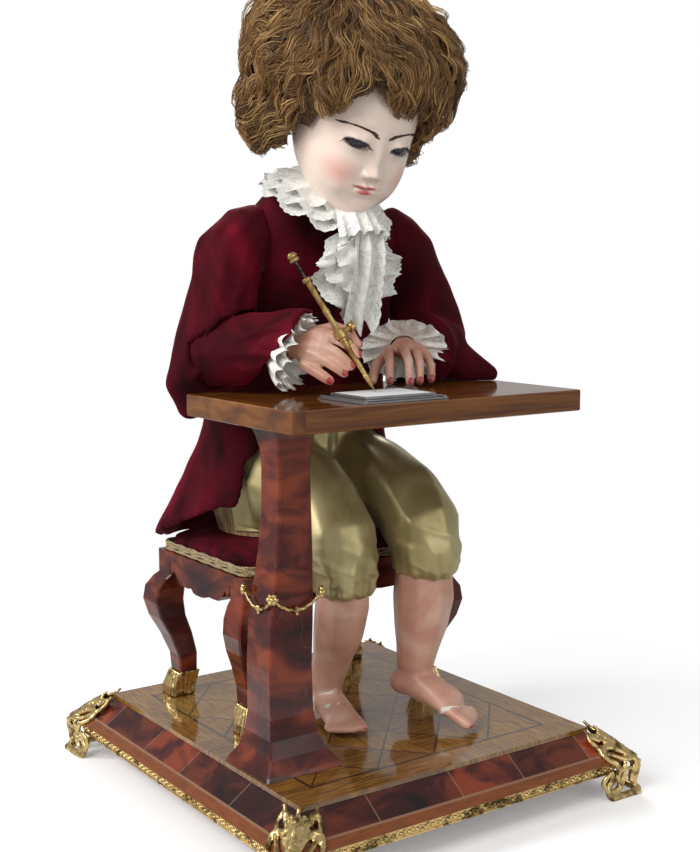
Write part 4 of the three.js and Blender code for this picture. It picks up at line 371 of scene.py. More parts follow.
def gilt(name, bright, dull, scale, roughness):
    """Gilt or polished brass, bright on most of it, with darker patches placed by noise as worn gilding and as
    painted shade in its hollows.
    """
    made, body = finish_of(name, roughness, 1.0)
    place = own_place(body)
    # Darker patches placed by noise: worn gilding, and painted shade standing in for the hollows
    rubbed = mottle(place, scale, 6, 0.6)
    wire(body, "Base Color", ramp(rubbed, [(0.36, dull), (0.52, bright), (0.8, bright)]))
    dents = mottle(place, scale * 5, 3, 0.3)
    wire(body, "Roughness", ramp(rubbed, [(0.3, grey(0.55)), (0.6, grey(roughness))]))
    bump(body, dents, 0.45, 0.0005)
    return made


gilt_finish = gilt("gilt_bronze", GILT_BRIGHT, GILT_DULL_AND_SHADE, 90, 0.24)


def bodied(name, shape, finish, body, slot, *nodes, smooth=True):
    """Turns a bmesh into a finished piece that rides on a body and stands for CAD nodes."""
    data = bpy.data.meshes.new(name)
    shape.to_mesh(data)
    shape.free()
    data.materials.append(finish)
    for face in data.polygons:
        face.use_smooth = smooth
    piece = bpy.data.objects.new(name, data)
    bpy.context.scene.collection.objects.link(piece)
    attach(piece, body)
    if nodes:
        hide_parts(*nodes)
    return piece


def block(shape, low, high, edge=0.0, segments=2):
    """A rounded-edged block between two corners, added to a bmesh."""
    middle = (Vector(low) + Vector(high)) / 2
    size = Vector(high) - Vector(low)
    place = Matrix.Translation(middle) @ Matrix.Diagonal((*size, 1))
    verts = bmesh.ops.create_cube(shape, size=1, matrix=place)["verts"]
    if edge:
        edges = list(dict.fromkeys(e for v in verts for e in v.link_edges))
        bmesh.ops.bevel(
            shape, geom=edges, offset=edge, segments=segments, profile=0.5, affect="EDGES", material=-1,
        )


def oval(shape, at, size, turn=None, divisions=1):
    """A small egg shape with given half sizes, added to a bmesh."""
    turn = turn or Matrix.Identity(4)
    place = Matrix.Translation(at) @ turn @ Matrix.Diagonal((*size, 1))
    bmesh.ops.create_icosphere(shape, subdivisions=divisions, radius=1, matrix=place)


def pearl_strip(node):
    """A gilt strip with a fine bead along each edge, and pearls with leaves down its middle."""
    low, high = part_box(node)
    along = 0 if high.x - low.x > high.y - low.y else 1
    length = high[along] - low[along]
    middle = (low + high) / 2
    outward = Vector((0, 0, 0))
    outward[1 - along] = 1 if middle[1 - along] > 0 else -1
    way = Vector((0, 0, 0))
    way[along] = 1
    shape = bmesh.new()
    thin_low, thin_high = low.copy(), high.copy()
    if outward[1 - along] > 0:
        thin_high[1 - along] -= PEARL_SEAT
    else:
        thin_low[1 - along] += PEARL_SEAT
    block(shape, thin_low, thin_high, 0.0009)
    face = middle.copy()
    face[1 - along] = (thin_high if outward[1 - along] > 0 else thin_low)[1 - along]
    count = int(length / PEARL_PITCH)
    for i in range(count + 1):
        step = length * ((i + 0.5) / (count + 1) - 0.5)
        at = face + way * step
        oval(shape, at, (PEARL_RADIUS,) * 3, divisions=2)
        for side in (-1, 1):
            for rise in (-1, 1):
                turn = Matrix.Rotation(rise * side * 0.7, 4, outward)
                leaf_size = Vector((0.0012, 0.0012, 0.0009))
                leaf_size[along] = LEAF_LENGTH * 0.75
                leaf_at = at + way * side * PEARL_PITCH * 0.36 + Vector((0, 0, rise * 0.0017))
                oval(shape, leaf_at, leaf_size, turn, divisions=1)
    for rise in (-1, 1):
        bead_low, bead_high = thin_low.copy(), thin_high.copy()
        bead_low.z = middle.z + rise * (high.z - low.z) * 0.43 - 0.0007
        bead_high.z = bead_low.z + 0.0014
        bead_low[1 - along] -= 0.0008
        bead_high[1 - along] += 0.0008
        block(shape, bead_low, bead_high, 0.0004)
    return bodied(node + "_pearls", shape, gilt_finish, "plinth", "gilt_bronze", node)


for side in ("back", "left", "front", "right"):
    pearl_strip("gilt_strip_" + side)


def soften(shape, rounds=1):
    """Eases every vertex halfway towards its neighbours."""
    for _ in range(rounds):
        bmesh.ops.smooth_vert(
            shape, verts=shape.verts, factor=0.5, use_axis_x=True, use_axis_y=True, use_axis_z=True,
        )


def redraw(shape, voxel, smoothing):
    """Draws a closed shape again in fine even faces and smooths it; returns a new bmesh."""
    data = bpy.data.meshes.new("draft")
    shape.to_mesh(data)
    shape.free()
    draft = bpy.data.objects.new("draft", data)
    bpy.context.scene.collection.objects.link(draft)
    fine = draft.modifiers.new("fine", "REMESH")
    fine.mode = "VOXEL"
    fine.voxel_size = voxel
    drawn = bmesh.new()
    drawn.from_object(draft, bpy.context.evaluated_depsgraph_get())
    bpy.data.objects.remove(draft)
    bpy.data.meshes.remove(data)
    soften(drawn, smoothing)
    drawn.normal_update()
    return drawn


def finer(node, voxel, smoothing):
    """A CAD node's shape with its loose triangles merged, drawn again finely; returns a bmesh."""
    shape = bmesh.new()
    shape.from_mesh(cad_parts[node].data)
    bmesh.ops.remove_doubles(shape, verts=shape.verts, dist=0.00001)
    return redraw(shape, voxel, smoothing)


def push(shape, by):
    """Moves each vertex along its normal by a distance worked out from its place."""
    moves = [(vert, vert.normal * by(vert.co, vert.normal)) for vert in shape.verts]
    for vert, move in moves:
        vert.co += move
    shape.normal_update()


def round_tubes(data):
    """Turns a curve's round lines into a mesh to work on."""
    source = bpy.data.objects.new(data.name, data)
    bpy.context.scene.collection.objects.link(source)
    solid = source.evaluated_get(bpy.context.evaluated_depsgraph_get()).to_mesh()
    shape = bmesh.new()
    shape.from_mesh(solid)
    bpy.data.objects.remove(source)
    return shape


def tubes(name, radius, sides=0):
    """An empty bundle of round lines of one radius."""
    data = bpy.data.curves.new(name, "CURVE")
    data.dimensions = "3D"
    data.bevel_depth = radius
    data.bevel_resolution = sides
    data.use_fill_caps = True
    return data


def line_through(data, places, sizes):
    """One round line through a list of places, with its relative size at each."""
    line = data.splines.new("POLY")
    line.points.add(len(places) - 1)
    for point, place, size in zip(line.points, places, sizes):
        point.co = (*place, 1)
        point.radius = size


PLINTH_HALF = (0.152, 0.1645)
# How far the plinth's side stands out from its top edge at each height, in millimetres
COVE = [
    (0, 34), (8, 31), (16, 30), (24, 32), (31, 32), (36, 24.5), (42, 18), (49, 11), (56, 4.5), (60, 1.5), (66, -2),
]
MOUNT_VOXEL = 0.0008


def read_off(table, at):
    """The value at one place in a table of (place, value), straight between its rows."""
    for (a0, v0), (a1, v1) in zip(table, table[1:]):
        if at <= a1:
            break
    return v0 + (v1 - v0) * (at - a0) / (a1 - a0)


def on_cove(signs, run, rise, out=0.0):
    """A place on the plinth's corner: run along it from the arris and rise, both in millimetres."""
    offset = read_off(COVE, rise) + out
    x = PLINTH_HALF[0] * 1000 + offset
    y = PLINTH_HALF[1] * 1000 + offset
    soft = min(abs(run) / 9, 1)
    back = (1 - soft) * 2.6
    x -= max(run, 0) + back
    y -= max(-run, 0) + back
    return Vector((signs[0] * x, signs[1] * y, rise)) / 1000


def scroll(start, middle, turns, first, last, hand):
    """Points of a C-scroll: a sweep from a start into a spiral round a middle."""
    points = []
    begin = math.atan2(start[1] - middle[1], start[0] - middle[0])
    reach = math.hypot(start[0] - middle[0], start[1] - middle[1])
    steps = 26
    for i in range(steps + 1):
        t = i / steps
        radius = reach * (1 - t) ** 1.4 + last * t + (first - last) * t * (1 - t)
        angle = begin + hand * turns * math.tau * t
        points.append((middle[0] + radius * math.cos(angle), middle[1] + radius * math.sin(angle)))
    return points


# The scrolls of one side of a mount: start, spiral's middle, turns, hand, thickness in millimetres
SCROLLS = [
    ((3, 3), (25, 9), 1.15, 1, 3.0), ((4, 24), (21, 30), 1.1, -1, 2.5), ((3, 34), (13, 46), 1.05, 1, 2.1),
    ((16, 20), (34, 20), 0.95, 1, 2.3), ((8, 10), (15, 18), 1.0, -1, 1.8),
]
LEAVES = [
    ((0, 6), (0, 30), 3.8), ((0, 28), (0, 58), 3.6), ((0, 34), (7, 54), 2.6), ((1, 30), (13, 49), 2.3),
    ((2, 12), (9, 34), 2.4), ((24, 18), (30, 34), 2.0), ((30, 12), (39, 27), 1.8), ((30, 6), (40, 10), 1.9),
    ((14, 46), (19, 57), 1.6), ((0, 2), (12, 0), 3.6),
]


def cast_relief(at, normal):
    """The chased relief of a casting: soft lobes and fine ribs."""
    return noise.noise(at * 130) * 0.0005 - abs(noise.noise(at * 330)) * 0.0005


for corner, signs in (
    ("front_right", (-1, -1)), ("front_left", (1, -1)), ("back_right", (-1, 1)), ("back_left", (1, 1)),
):
    node = "corner_mount_" + corner
    scrollwork = tubes(node + "_scrolls", 0.001, 3)
    for hand in (-1, 1):
        for start, middle, turns, way, thick in SCROLLS:
            points = scroll(start, middle, turns, 4.0, 1.2, way)
            sizes = [thick * (1.25 - 0.55 * (i / len(points))) for i in range(len(points))]
            sizes[-2:] = [thick * 1.0, thick * 1.15]
            line_through(scrollwork, [on_cove(signs, hand * run, max(rise, 1.5), 1.2) for run, rise in points], sizes)
        for (run0, rise0), (run1, rise1), thick in LEAVES:
            places, sizes = [], []
            for i in range(9):
                t = i / 8
                swell = math.sin(math.pi * min(1, t * 0.85 + 0.15)) ** 0.8
                run = hand * (run0 + (run1 - run0) * t)
                rise = max(rise0 + (rise1 - rise0) * t, 1.2)
                places.append(on_cove(signs, run, rise, 1.0 + 2.4 * t * t))
                sizes.append(max(thick * swell * 1.3, 1.7))
            line_through(scrollwork, places, sizes)
    mount_shape = redraw(round_tubes(scrollwork), MOUNT_VOXEL, 5)
    push(mount_shape, cast_relief)
    for vert in mount_shape.verts:
        vert.co.z = max(vert.co.z, 0.0)
    bodied(node + "_casting", mount_shape, gilt_finish, "plinth", "gilt_bronze", node)

# Writing table: a solid walnut top with figured veneer on its edge, on one flared pedestal.
# The pedestal is veneered like the plinth, a little scratched, and carries a gilt garland.
TABLE_DARK = (0.070, 0.018, 0.004, 1)
TABLE_MID = (0.175, 0.056, 0.009, 1)
TABLE_LIGHT = (0.33, 0.125, 0.018, 1)
END_VENEER = 0.012
SIDE_SHADE_BELOW_TOP = 0.0012
table_low, table_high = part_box("table_top")

table_finish, t_body = finish_of(
    "table_wood", 0.14, coat_weight=0.35, coat_roughness=0.04, specular_ior_level=0.4,
)
t_x, _, t_z = split(own_place(t_body))
long_grain = mottle(own_place(t_body, (1.2, 26, 26), (0, 0, 0.03)), 7, 6, 1.0)
burl = mottle(own_place(t_body, (1, 0.4, 1)), 60, 6, 1.0)
on_end = calc("LESS_THAN", t_x, table_low.x + END_VENEER)
t_colour = ramp(choose(on_end, long_grain, burl), [(0.27, TABLE_DARK), (0.5, TABLE_MID), (0.74, TABLE_LIGHT)])
# Painted shade: below its top face the sides of the table top are darkened towards its darkest wood, so the top face
# reads lighter than its sides
t_side_shade = calc("LESS_THAN", t_z, table_high.z - SIDE_SHADE_BELOW_TOP)
t_side_shaded = blend_colours(times(t_side_shade, 0.35), t_colour, TABLE_DARK)
wire(t_body, "Base Color", t_side_shaded)
varnish(t_body, 0.05, 0.1, 0.00004)
dress("table_top", table_finish)

pedestal_finish, p_body, p_colour = figured_veneer("pedestal_veneer", 0.5, 0.6)
scratch_place = own_place(p_body, (30, 30, 6), (0.5, 0.2, 0.3))
scratch = near(mottle(scratch_place, 1.0, 2, 0.6), 0.5, 0.0022)
p_scratched = blend_colours(times(scratch, 0.14), p_colour, VENEER_JOINT)
wire(p_body, "Base Color", p_scratched)
varnish(p_body, 0.1, 0.16)
dress("table_pedestal", pedestal_finish)

garland_low, garland_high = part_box("pedestal_garland")
GARLAND_THICK = 0.0011
# The festoons' sag, the twist of their two strands, and the rosettes at the corners
FESTOON_SAG = garland_high.z - garland_low.z - 0.007
STRAND_APART = 0.0008
PETALS, PETAL_RADIUS, PETALS_RING = 6, 0.0021, 0.0032
HEART_RADIUS = 0.0022
TAIL_RADIUS, TAIL_STEP = 0.0024, 0.0022
UP = Vector((0, 0, 1))
festoon = tubes("festoon", GARLAND_THICK, 2)
garland_mesh = bmesh.new()
garland_mesh.from_mesh(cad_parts["pedestal_garland"].data)
garland_tree = BVHTree.FromBMesh(garland_mesh)
garland_mesh.free()
garland_middle = (garland_low + garland_high) / 2
corners = []


def out_of_garland(at):
    """The level way from the pedestal's middle out to a place."""
    return Vector((at.x - garland_middle.x, at.y - garland_middle.y, 0)).normalized()


for index in range(4):
    turn = math.radians(45 + 90 * index)
    far = garland_middle + Vector((math.cos(turn), math.sin(turn), 0)) * 0.2
    far.z = garland_high.z - 0.004
    corners.append(garland_tree.find_nearest(far)[0])
for index in range(4):
    first, last = corners[index], corners[(index + 1) % 4]
    for strand_way in (-1, 1):
        places, sizes = [], []
        for i in range(41):
            t = i / 40
            wish = first.lerp(last, t)
            wish.z -= 4 * t * (1 - t) * FESTOON_SAG
            wish += out_of_garland(wish) * 0.001 + Vector((0, 0, STRAND_APART * strand_way * math.sin(t * 40)))
            places.append(wish)
            sizes.append(0.75 + 0.35 * math.cos(t * 80 + strand_way))
        line_through(festoon, places, sizes)
garland_shape = round_tubes(festoon)
for corner in corners:
    outward = out_of_garland(corner)
    for petal in range(PETALS):
        turn = math.tau * petal / PETALS
        spoke = outward.cross(UP) * math.cos(turn) + UP * math.sin(turn)
        oval(garland_shape, corner + outward * 0.0008 + spoke * PETALS_RING, (PETAL_RADIUS,) * 3, divisions=2)
    oval(garland_shape, corner + outward * 0.0018, (HEART_RADIUS,) * 3, divisions=2)
for index in range(4):
    middle = (corners[index] + corners[(index + 1) % 4]) / 2
    middle.z -= FESTOON_SAG - 0.001
    for tail in range(3):
        oval(garland_shape, middle - UP * TAIL_STEP * tail, (TAIL_RADIUS - 0.0005 * tail,) * 3, divisions=2)
bodied("garland_casting", garland_shape, gilt_finish, "plinth", "gilt_bronze", "pedestal_garland")


def grained(name, roughness, stops, scale, detail, stretch=(1, 1, 1), distortion=0.0, **settings):
    """A material coloured by one soft noise, which can also change its gloss and raise it."""
    relief, gloss = settings.pop("relief", None), settings.pop("gloss", None)
    made, body = finish_of(name, roughness, **settings)
    marks = mottle(own_place(body, stretch), scale, detail, distortion)
    wire(body, "Base Color", ramp(marks, stops))
    if gloss:
        wire(body, "Roughness", ramp(marks, gloss))
    if relief:
        bump(body, marks, *relief)
    return made


STEEL_STOPS = [(0.3, grey(0.22)), (0.7, grey(0.46))]
STEEL_GLOSS = [(0.3, grey(0.4)), (0.7, grey(0.22))]
steel_finish = grained(
    "carriage_steel", 0.28, STEEL_STOPS, 16, 3, (3, 120, 120), gloss=STEEL_GLOSS, metallic=1.0,
)
for node in ("carriage_bed", "line_slide", "letter_slide"):
    dress(node, steel_finish)

CARD_STOPS = [(0.3, grey(0.80)), (0.7, grey(0.90))]
card_finish = grained("card", 0.55, CARD_STOPS, 900, 3, relief=(0.2, 0.00005))
dress("paper_card", card_finish)

# Stool: a shaped frame on four cabriole legs with gilt shoes, all veneered dark red.
# A velvet pad lies on it, and three laid cords of galloon hide the pad's lower edge.
stool_finish, st_body, st_colour = figured_veneer("stool_veneer", 0.5, 0.35)
wire(st_body, "Base Color", st_colour)
varnish(st_body, 0.12, 0.16)
dress("stool_frame", stool_finish)
for corner in ("front_right", "front_left", "back_right", "back_left"):
    dress("stool_leg_" + corner, stool_finish)
    shoe = finer("sabot_" + corner, 0.0008, 1)
    middle = sum((Vector(c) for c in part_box("sabot_" + corner)), Vector()) / 2

    def flutes(at, normal, middle=middle):
        """The flutes of a cast shoe, round its middle."""
        angle = math.atan2(at.y - middle.y, at.x - middle.x)
        return 0.0006 * math.cos(angle * 16) + 0.0003 * noise.noise(at * 300)

    push(shoe, flutes)
    bodied("gilt_shoe_" + corner, shoe, gilt_finish, "plinth", "gilt_bronze", "sabot_" + corner)

VELVET_DEEP = (0.0125, 0.0004, 0.0016, 1)
VELVET_MID = (0.072, 0.0014, 0.0070, 1)
VELVET_NAP = (0.205, 0.0035, 0.0185, 1)


def velvet(name, sheen):
    """Silk velvet whose pile is brushed this way and that."""
    made, body = finish_of(name, 0.85, sheen_weight=sheen, sheen_roughness=0.35, specular_ior_level=0.12)
    body.inputs["Sheen Tint"].default_value = (0.70, 0.03, 0.09, 1)
    place = own_place(body)
    brushed_way = mottle(own_place(body, (1, 1, 0.6)), 16, 3, 1.2)
    pile = mottle(place, 1100, 2)
    rubbed = mottle(place, 55, 4)
    value = plus(times(brushed_way, 0.8), times(pile, 0.12))
    value = plus(value, times(rubbed, 0.1))
    wire(body, "Base Color", ramp(value, [(0.36, VELVET_DEEP), (0.56, VELVET_MID), (0.78, VELVET_NAP)]))
    bump(body, pile, 0.5, 0.0004)
    return made


coat_velvet = velvet("coat_velvet", 0.32)
pad_velvet = velvet("pad_velvet", 0.25)

pad_shape = finer("seat_pad", 0.003, 6)


def pad_swell(at, normal):
    """The stuffing's unevenness, and the sides' bulge."""
    side = abs(normal.z) < 0.6
    return noise.noise(at * 30) * 0.0012 + (0.0015 if side else 0.0)


push(pad_shape, pad_swell)
pad = bodied("velvet_pad", pad_shape, pad_velvet, "plinth", "pad_velvet", "seat_pad")

BRAID_STOPS = [(0.35, (0.13, 0.08, 0.03, 1)), (0.62, (0.46, 0.35, 0.17, 1))]
braid_finish = grained("galloon", 0.6, BRAID_STOPS, 700, 3, relief=(0.6, 0.0004), sheen_weight=0.2)

braid_low, braid_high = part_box("seat_braid")
CORD_RADIUS = (braid_high.z - braid_low.z) / 6.4
CORD_STEP = 0.0024
RIM_CORNER = 0.012
RIM_TURN = math.pi * RIM_CORNER / 2


def on_rim(run, half_x, half_y):
    """Where a run along the pad's rim leads, from its right front corner, and the way out there."""
    for quarter in range(4):
        out = Vector(((1, 0, -1, 0)[quarter], (0, 1, 0, -1)[quarter], 0))
        way = Vector((-out.y, out.x, 0))
        from_middle, half_length = (half_y, half_x)[quarter % 2 - 1], (half_y, half_x)[quarter % 2] - RIM_CORNER
        if run <= 2 * half_length:
            return out * from_middle + way * (run - half_length), out
        run -= 2 * half_length
        if run <= RIM_TURN or quarter == 3:
            turned = out * math.cos(run / RIM_CORNER) + way * math.sin(run / RIM_CORNER)
            return out * (from_middle - RIM_CORNER) + way * half_length + turned * RIM_CORNER, turned
        run -= RIM_TURN


def laid_cord(data, height, radius, twist):
    """Two strands wound round each other along the pad's rim, as one row of the galloon."""
    half_x = (braid_high.x - braid_low.x) / 2 - radius
    half_y = (braid_high.y - braid_low.y) / 2 - radius
    centre = (braid_low + braid_high) / 2
    total = 4 * (half_x + half_y - 2 * RIM_CORNER + RIM_TURN)
    count = int(total / CORD_STEP)
    for strand_turn in (0, math.pi):
        line = data.splines.new("POLY")
        line.points.add(count - 1)
        line.use_cyclic_u = True
        for i, point in enumerate(line.points):
            at, out = on_rim(total * i / count, half_x, half_y)
            spin = twist * total * i / count / (radius * 5) + strand_turn
            at += out * math.cos(spin) * radius * 0.5
            point.co = (at.x + centre.x, at.y + centre.y, height + math.sin(spin) * radius * 0.5, 1)


braid_curve = tubes("galloon_cords", CORD_RADIUS * 0.62, 1)
for row in range(3):
    level = braid_low.z + CORD_RADIUS * (1.1 + 2.1 * row)
    laid_cord(braid_curve, level, CORD_RADIUS, 1 if row % 2 else -1)
bodied("galloon_braid", round_tubes(braid_curve), braid_finish, "plinth", "galloon", "seat_braid")

# Body: a hollow carved shell that holds the clockwork, with a hinged door in its back.
# Inside stand the brass frame, the mainspring's barrel, the stacked cams, the fly and the selector.
CARVED_STOPS = [(0.35, (0.24, 0.13, 0.055, 1)), (0.65, (0.50, 0.33, 0.17, 1))]
carved_finish = grained("carved_wood", 0.6, CARVED_STOPS, 9, 5, (30, 30, 3), 0.8, relief=(0.4, 0.0004))
for node in ("torso_shell", "back_door", "neck_post", "right_upper_arm", "right_forearm"):
    dress(node, carved_finish)

movement_brass = gilt("movement_brass", (0.74, 0.53, 0.22, 1), (0.36, 0.23, 0.08, 1), 40, 0.3)
for node in ("movement_frame", "mainspring_barrel", "cam_stack", "selector_wheel"):
    dress(node, movement_brass)
dress("governor_fly", steel_finish)

# Head: a carved and painted head, glossy as porcelain, that turns and nods on its neck.
# Pale enamel with rosy cheeks and small red lips, its lids half closed over glass eyes.
HEAD_AT = Vector((-0.0116, -0.038, 0.585))
HEAD_YAW, HEAD_NOD, HEAD_ROLL = (math.radians(a) for a in (-9.5, 33, 7))
head_turn = (
    Matrix.Rotation(HEAD_YAW, 4, "Z") @ Matrix.Rotation(HEAD_NOD, 4, "X") @ Matrix.Rotation(HEAD_ROLL, 4, "Y")
)
head_place = Matrix.Translation(HEAD_AT) @ head_turn
SKIN_PALE = (0.93, 0.77, 0.655, 1)
SKIN_ROSE = (0.78, 0.22, 0.17, 1)
LIP_RED = (0.62, 0.085, 0.070, 1)
LIP_DARK = (0.12, 0.012, 0.012, 1)
LID_RIM_AND_SLIT_SHADE = (0.035, 0.016, 0.014, 1)
HEAD_RISE = 66.0
HEAD_ROUND = 2.15
# Height, half width, front and back of the head at each level, in millimetres from its middle
HEAD_LEVELS = [
    (66, 4, -2, 6), (60, 25, -22, 28), (47, 39, -39, 43), (32, 46, -48, 53), (17, 49, -52, 58), (3, 49.5, -53.5, 59),
    (-10, 49.5, -55, 57), (-22, 48.5, -56, 51), (-33, 46, -56, 42), (-44, 41, -55, 31), (-54, 33, -53, 18),
    (-62, 21, -48, 4), (-66, 6, -30, -14),
]
# The face's swellings and hollows: x, height, half width, half height, how far they stand forward
FACE_FORMS = [
    (0, 7, 6.5, 13, 1.6), (0, -8, 5.2, 10, 4.2), (0.4, -18.5, 6.2, 5.2, 7.2), (-1.5, -34, 13, 7, 2.6),
    (0, -53, 14, 9, 4.6), (-1, -42, 9, 2.6, -1.2), (0, -27, 1.7, 2.6, -0.8),
]
PAIRED_FORMS = [
    (29, -21, 16, 15, 5.2), (25, -38, 15, 11, 3.6), (6.6, -19.8, 3.2, 3.0, 3.6), (3.4, -22.6, 1.7, 1.1, -2.4),
    (10, -18.5, 1.8, 3.2, -1.2), (3.4, -30.6, 3.4, 1.7, 1.9), (8, -31.6, 3.4, 1.4, 0.7), (3.4, -36.2, 5.2, 2.2, 2.0),
    (20.5, 20, 13, 4, 1.3), (20.5, 5, 15, 11, -2.6), (20.5, 4.4, 10.4, 8.0, 8.6), (12, -33, 1.7, 1.8, -1.2),
]
EYE_X, EYE_Z = 20.5, 2.8
BALL_X, BALL_Y, BALL_Z, BALL_SIZE = 19.3, -45.3, 4.0, 8.0
SLIT_HALF = 10.4
SLIT_DROP = 3.0
SLIT_RISE = 4.4
MOUTH_Z = -32.9
MOUTH_X = -2.4
MOUTH_HALF = 12.2


def on_head(x, y, z):
    """A place given in the head's own millimetres: x to its left, y backwards, z up."""
    return head_place @ Vector((x / 1000, y / 1000, z / 1000))


def smooth_between(levels, z):
    """The head's half width, front and back at a height, eased from level to level."""
    for i in range(len(levels) - 1):
        high, low = levels[i], levels[i + 1]
        if z >= low[0]:
            break
    before = levels[max(i - 1, 0)]
    after = levels[min(i + 2, len(levels) - 1)]
    t = (high[0] - z) / (high[0] - low[0])
    values = []
    for k in (1, 2, 3):
        p0, p1, p2, p3 = before[k], high[k], low[k], after[k]
        curve = 2 * p1 + (p2 - p0) * t + (2 * p0 - 5 * p1 + 4 * p2 - p3) * t * t
        values.append(0.5 * (curve + (3 * p1 - p0 - 3 * p2 + p3) * t ** 3))
    return values


def ease(t):
    """0 to 1, starting and ending softly."""
    t = min(max(t, 0.0), 1.0)
    return t * t * (3 - 2 * t)


def forward_of_face(x, z):
    """How far the face stands forward of the plain head at one place."""
    total = sum(f * math.exp(-((x - cx) / w) ** 2 - ((z - cz) / h) ** 2) for cx, cz, w, h, f in FACE_FORMS)
    for cx, cz, w, h, f in PAIRED_FORMS:
        total += f * math.exp(-((abs(x) - cx) / w) ** 2 - ((z - cz) / h) ** 2)
    across = x - MOUTH_X
    bow = MOUTH_Z + 1.3 * (across / MOUTH_HALF) ** 2
    if abs(across) < MOUTH_HALF + 1:
        total -= 1.7 * math.exp(-((z - bow) / 0.75) ** 2) * ease((MOUTH_HALF + 1 - abs(across)) / 4)
    return total


def slit_depth(x, z):
    """How far a place lies inside the opening between the lids, 0 outside it."""
    dx = (abs(x) - EYE_X) / SLIT_HALF
    if abs(dx) >= 1:
        return 0.0
    arch = (1 - dx * dx) ** 0.8
    upper = EYE_Z - 0.4 + SLIT_RISE * arch
    lower = EYE_Z - 0.4 - SLIT_DROP * arch
    return ease(min(upper - z, z - lower) / 1.0)


head_shape = bmesh.new()
bmesh.ops.create_uvsphere(head_shape, u_segments=250, v_segments=190, radius=1)
for vert in head_shape.verts:
    z = vert.co.z * HEAD_RISE
    half, front, back = smooth_between(HEAD_LEVELS, z)
    ring = math.hypot(vert.co.x, vert.co.y)
    around = math.atan2(vert.co.x, -vert.co.y)
    around -= 0.5 * math.sin(around)
    wide, deep = math.sin(around), -math.cos(around)
    flat = 2 / HEAD_ROUND
    closing = min(1.0, ring * 12)
    x = half * math.copysign(abs(wide) ** flat, wide) * closing
    y = (front + back) / 2 + (back - front) / 2 * math.copysign(abs(deep) ** flat, deep) * closing
    if y < 0:
        y -= forward_of_face(x, z) * ease(-y / 30)
        y += 10.0 * slit_depth(x, z)
    vert.co = on_head(x, y, z)
bmesh.ops.recalc_face_normals(head_shape, faces=head_shape.faces)

face_finish, f_body = finish_of("painted_face", 0.30, coat_weight=0.6, coat_roughness=0.14)


def vector_calc(how, first, second=(0, 0, 0)):
    """One Vector Math node; returns its outputs."""
    return put(first, "VectorMath", {0: first, 1: second}, operation=how).outputs


def head_space(body):
    """Object coordinates turned into the head's own axes, in metres."""
    away = vector_calc("SUBTRACT", put(body, "TexCoord").outputs["Object"], tuple(HEAD_AT))["Vector"]
    rows = [tuple(head_turn.transposed()[i][:3]) for i in range(3)]
    axes = [vector_calc("DOT_PRODUCT", away, row)["Value"] for row in rows]
    return put(body, "CombineXYZ", dict(enumerate(axes))).outputs["Vector"]


def spot(place, at, size, soft=0.5):
    """A soft-edged spot round a place, given in millimetres by its half sizes; 1 in its middle."""
    away = vector_calc("SUBTRACT", place, tuple(value / 1000 for value in at))["Vector"]
    scaled = vector_calc("MULTIPLY", away, tuple(1000 / value for value in size))["Vector"]
    return remap(vector_calc("LENGTH", scaled)["Value"], 1.0, 1.0 - soft)


f_place = head_space(f_body)
FACE_MARKS = [
    # Rosy cheeks, chin and nose
    ((-27, -50, -23), (18, 30, 15), 1.0, 0.62, SKIN_ROSE), ((31, -45, -24), (17, 30, 17), 1.0, 0.7, SKIN_ROSE),
    ((0, -56, -54), (14, 20, 10), 1.0, 0.16, SKIN_ROSE), ((0, -60, -20), (9, 12, 8), 1.0, 0.1, SKIN_ROSE),
    # The lips and the dark line between them
    ((-6.8, -58, -31.3), (6.6, 9, 2.0), 0.45, 0.95, LIP_RED), ((2.4, -58, -31.3), (6.4, 9, 2.0), 0.45, 0.95, LIP_RED),
    ((-2.2, -58, -35.6), (8.6, 9, 3.0), 0.45, 0.95, LIP_RED),
    ((MOUTH_X, -58, MOUTH_Z + 0.3), (12.0, 9, 0.8), 0.7, 0.75, LIP_DARK),
    # The lids' dark painted rims, and painted shade filling the opening between them
    ((-EYE_X, -50, EYE_Z + 0.5), (11.5, 14, 5.0), 0.25, 0.92, LID_RIM_AND_SLIT_SHADE),
    ((EYE_X, -50, EYE_Z + 0.5), (11.5, 14, 5.0), 0.25, 0.92, LID_RIM_AND_SLIT_SHADE),
]
f_patch = mottle(own_place(f_body), 24, 4)
f_colour = blend_colours(times(f_patch, 0.10), SKIN_PALE, SKIN_ROSE)
for at, size, soft, amount, paint in FACE_MARKS:
    f_colour = blend_colours(times(spot(f_place, at, size, soft), amount), f_colour, paint)
wire(f_body, "Base Color", f_colour)
bump(f_body, mottle(own_place(f_body), 160, 3), 0.12, 0.0002)
bodied("painted_head", head_shape, face_finish, "head", "painted_face", "head")

EYE_STOPS = [(0.35, (0.008, 0.009, 0.016, 1)), (0.7, (0.035, 0.04, 0.10, 1))]
eye_finish = grained("glass_eye", 0.06, EYE_STOPS, 260, 3, coat_weight=0.8, coat_roughness=0.03)
for side, name, body in ((-1, "right", "eye_r"), (1, "left", "eye_l")):
    eye_shape = bmesh.new()
    size = (BALL_SIZE / 1000,) * 3
    oval(eye_shape, on_head(side * BALL_X, BALL_Y, BALL_Z), size, divisions=4)
    bodied("eye_ball_" + name, eye_shape, eye_finish, body, "glass_eye", "eye_" + name)

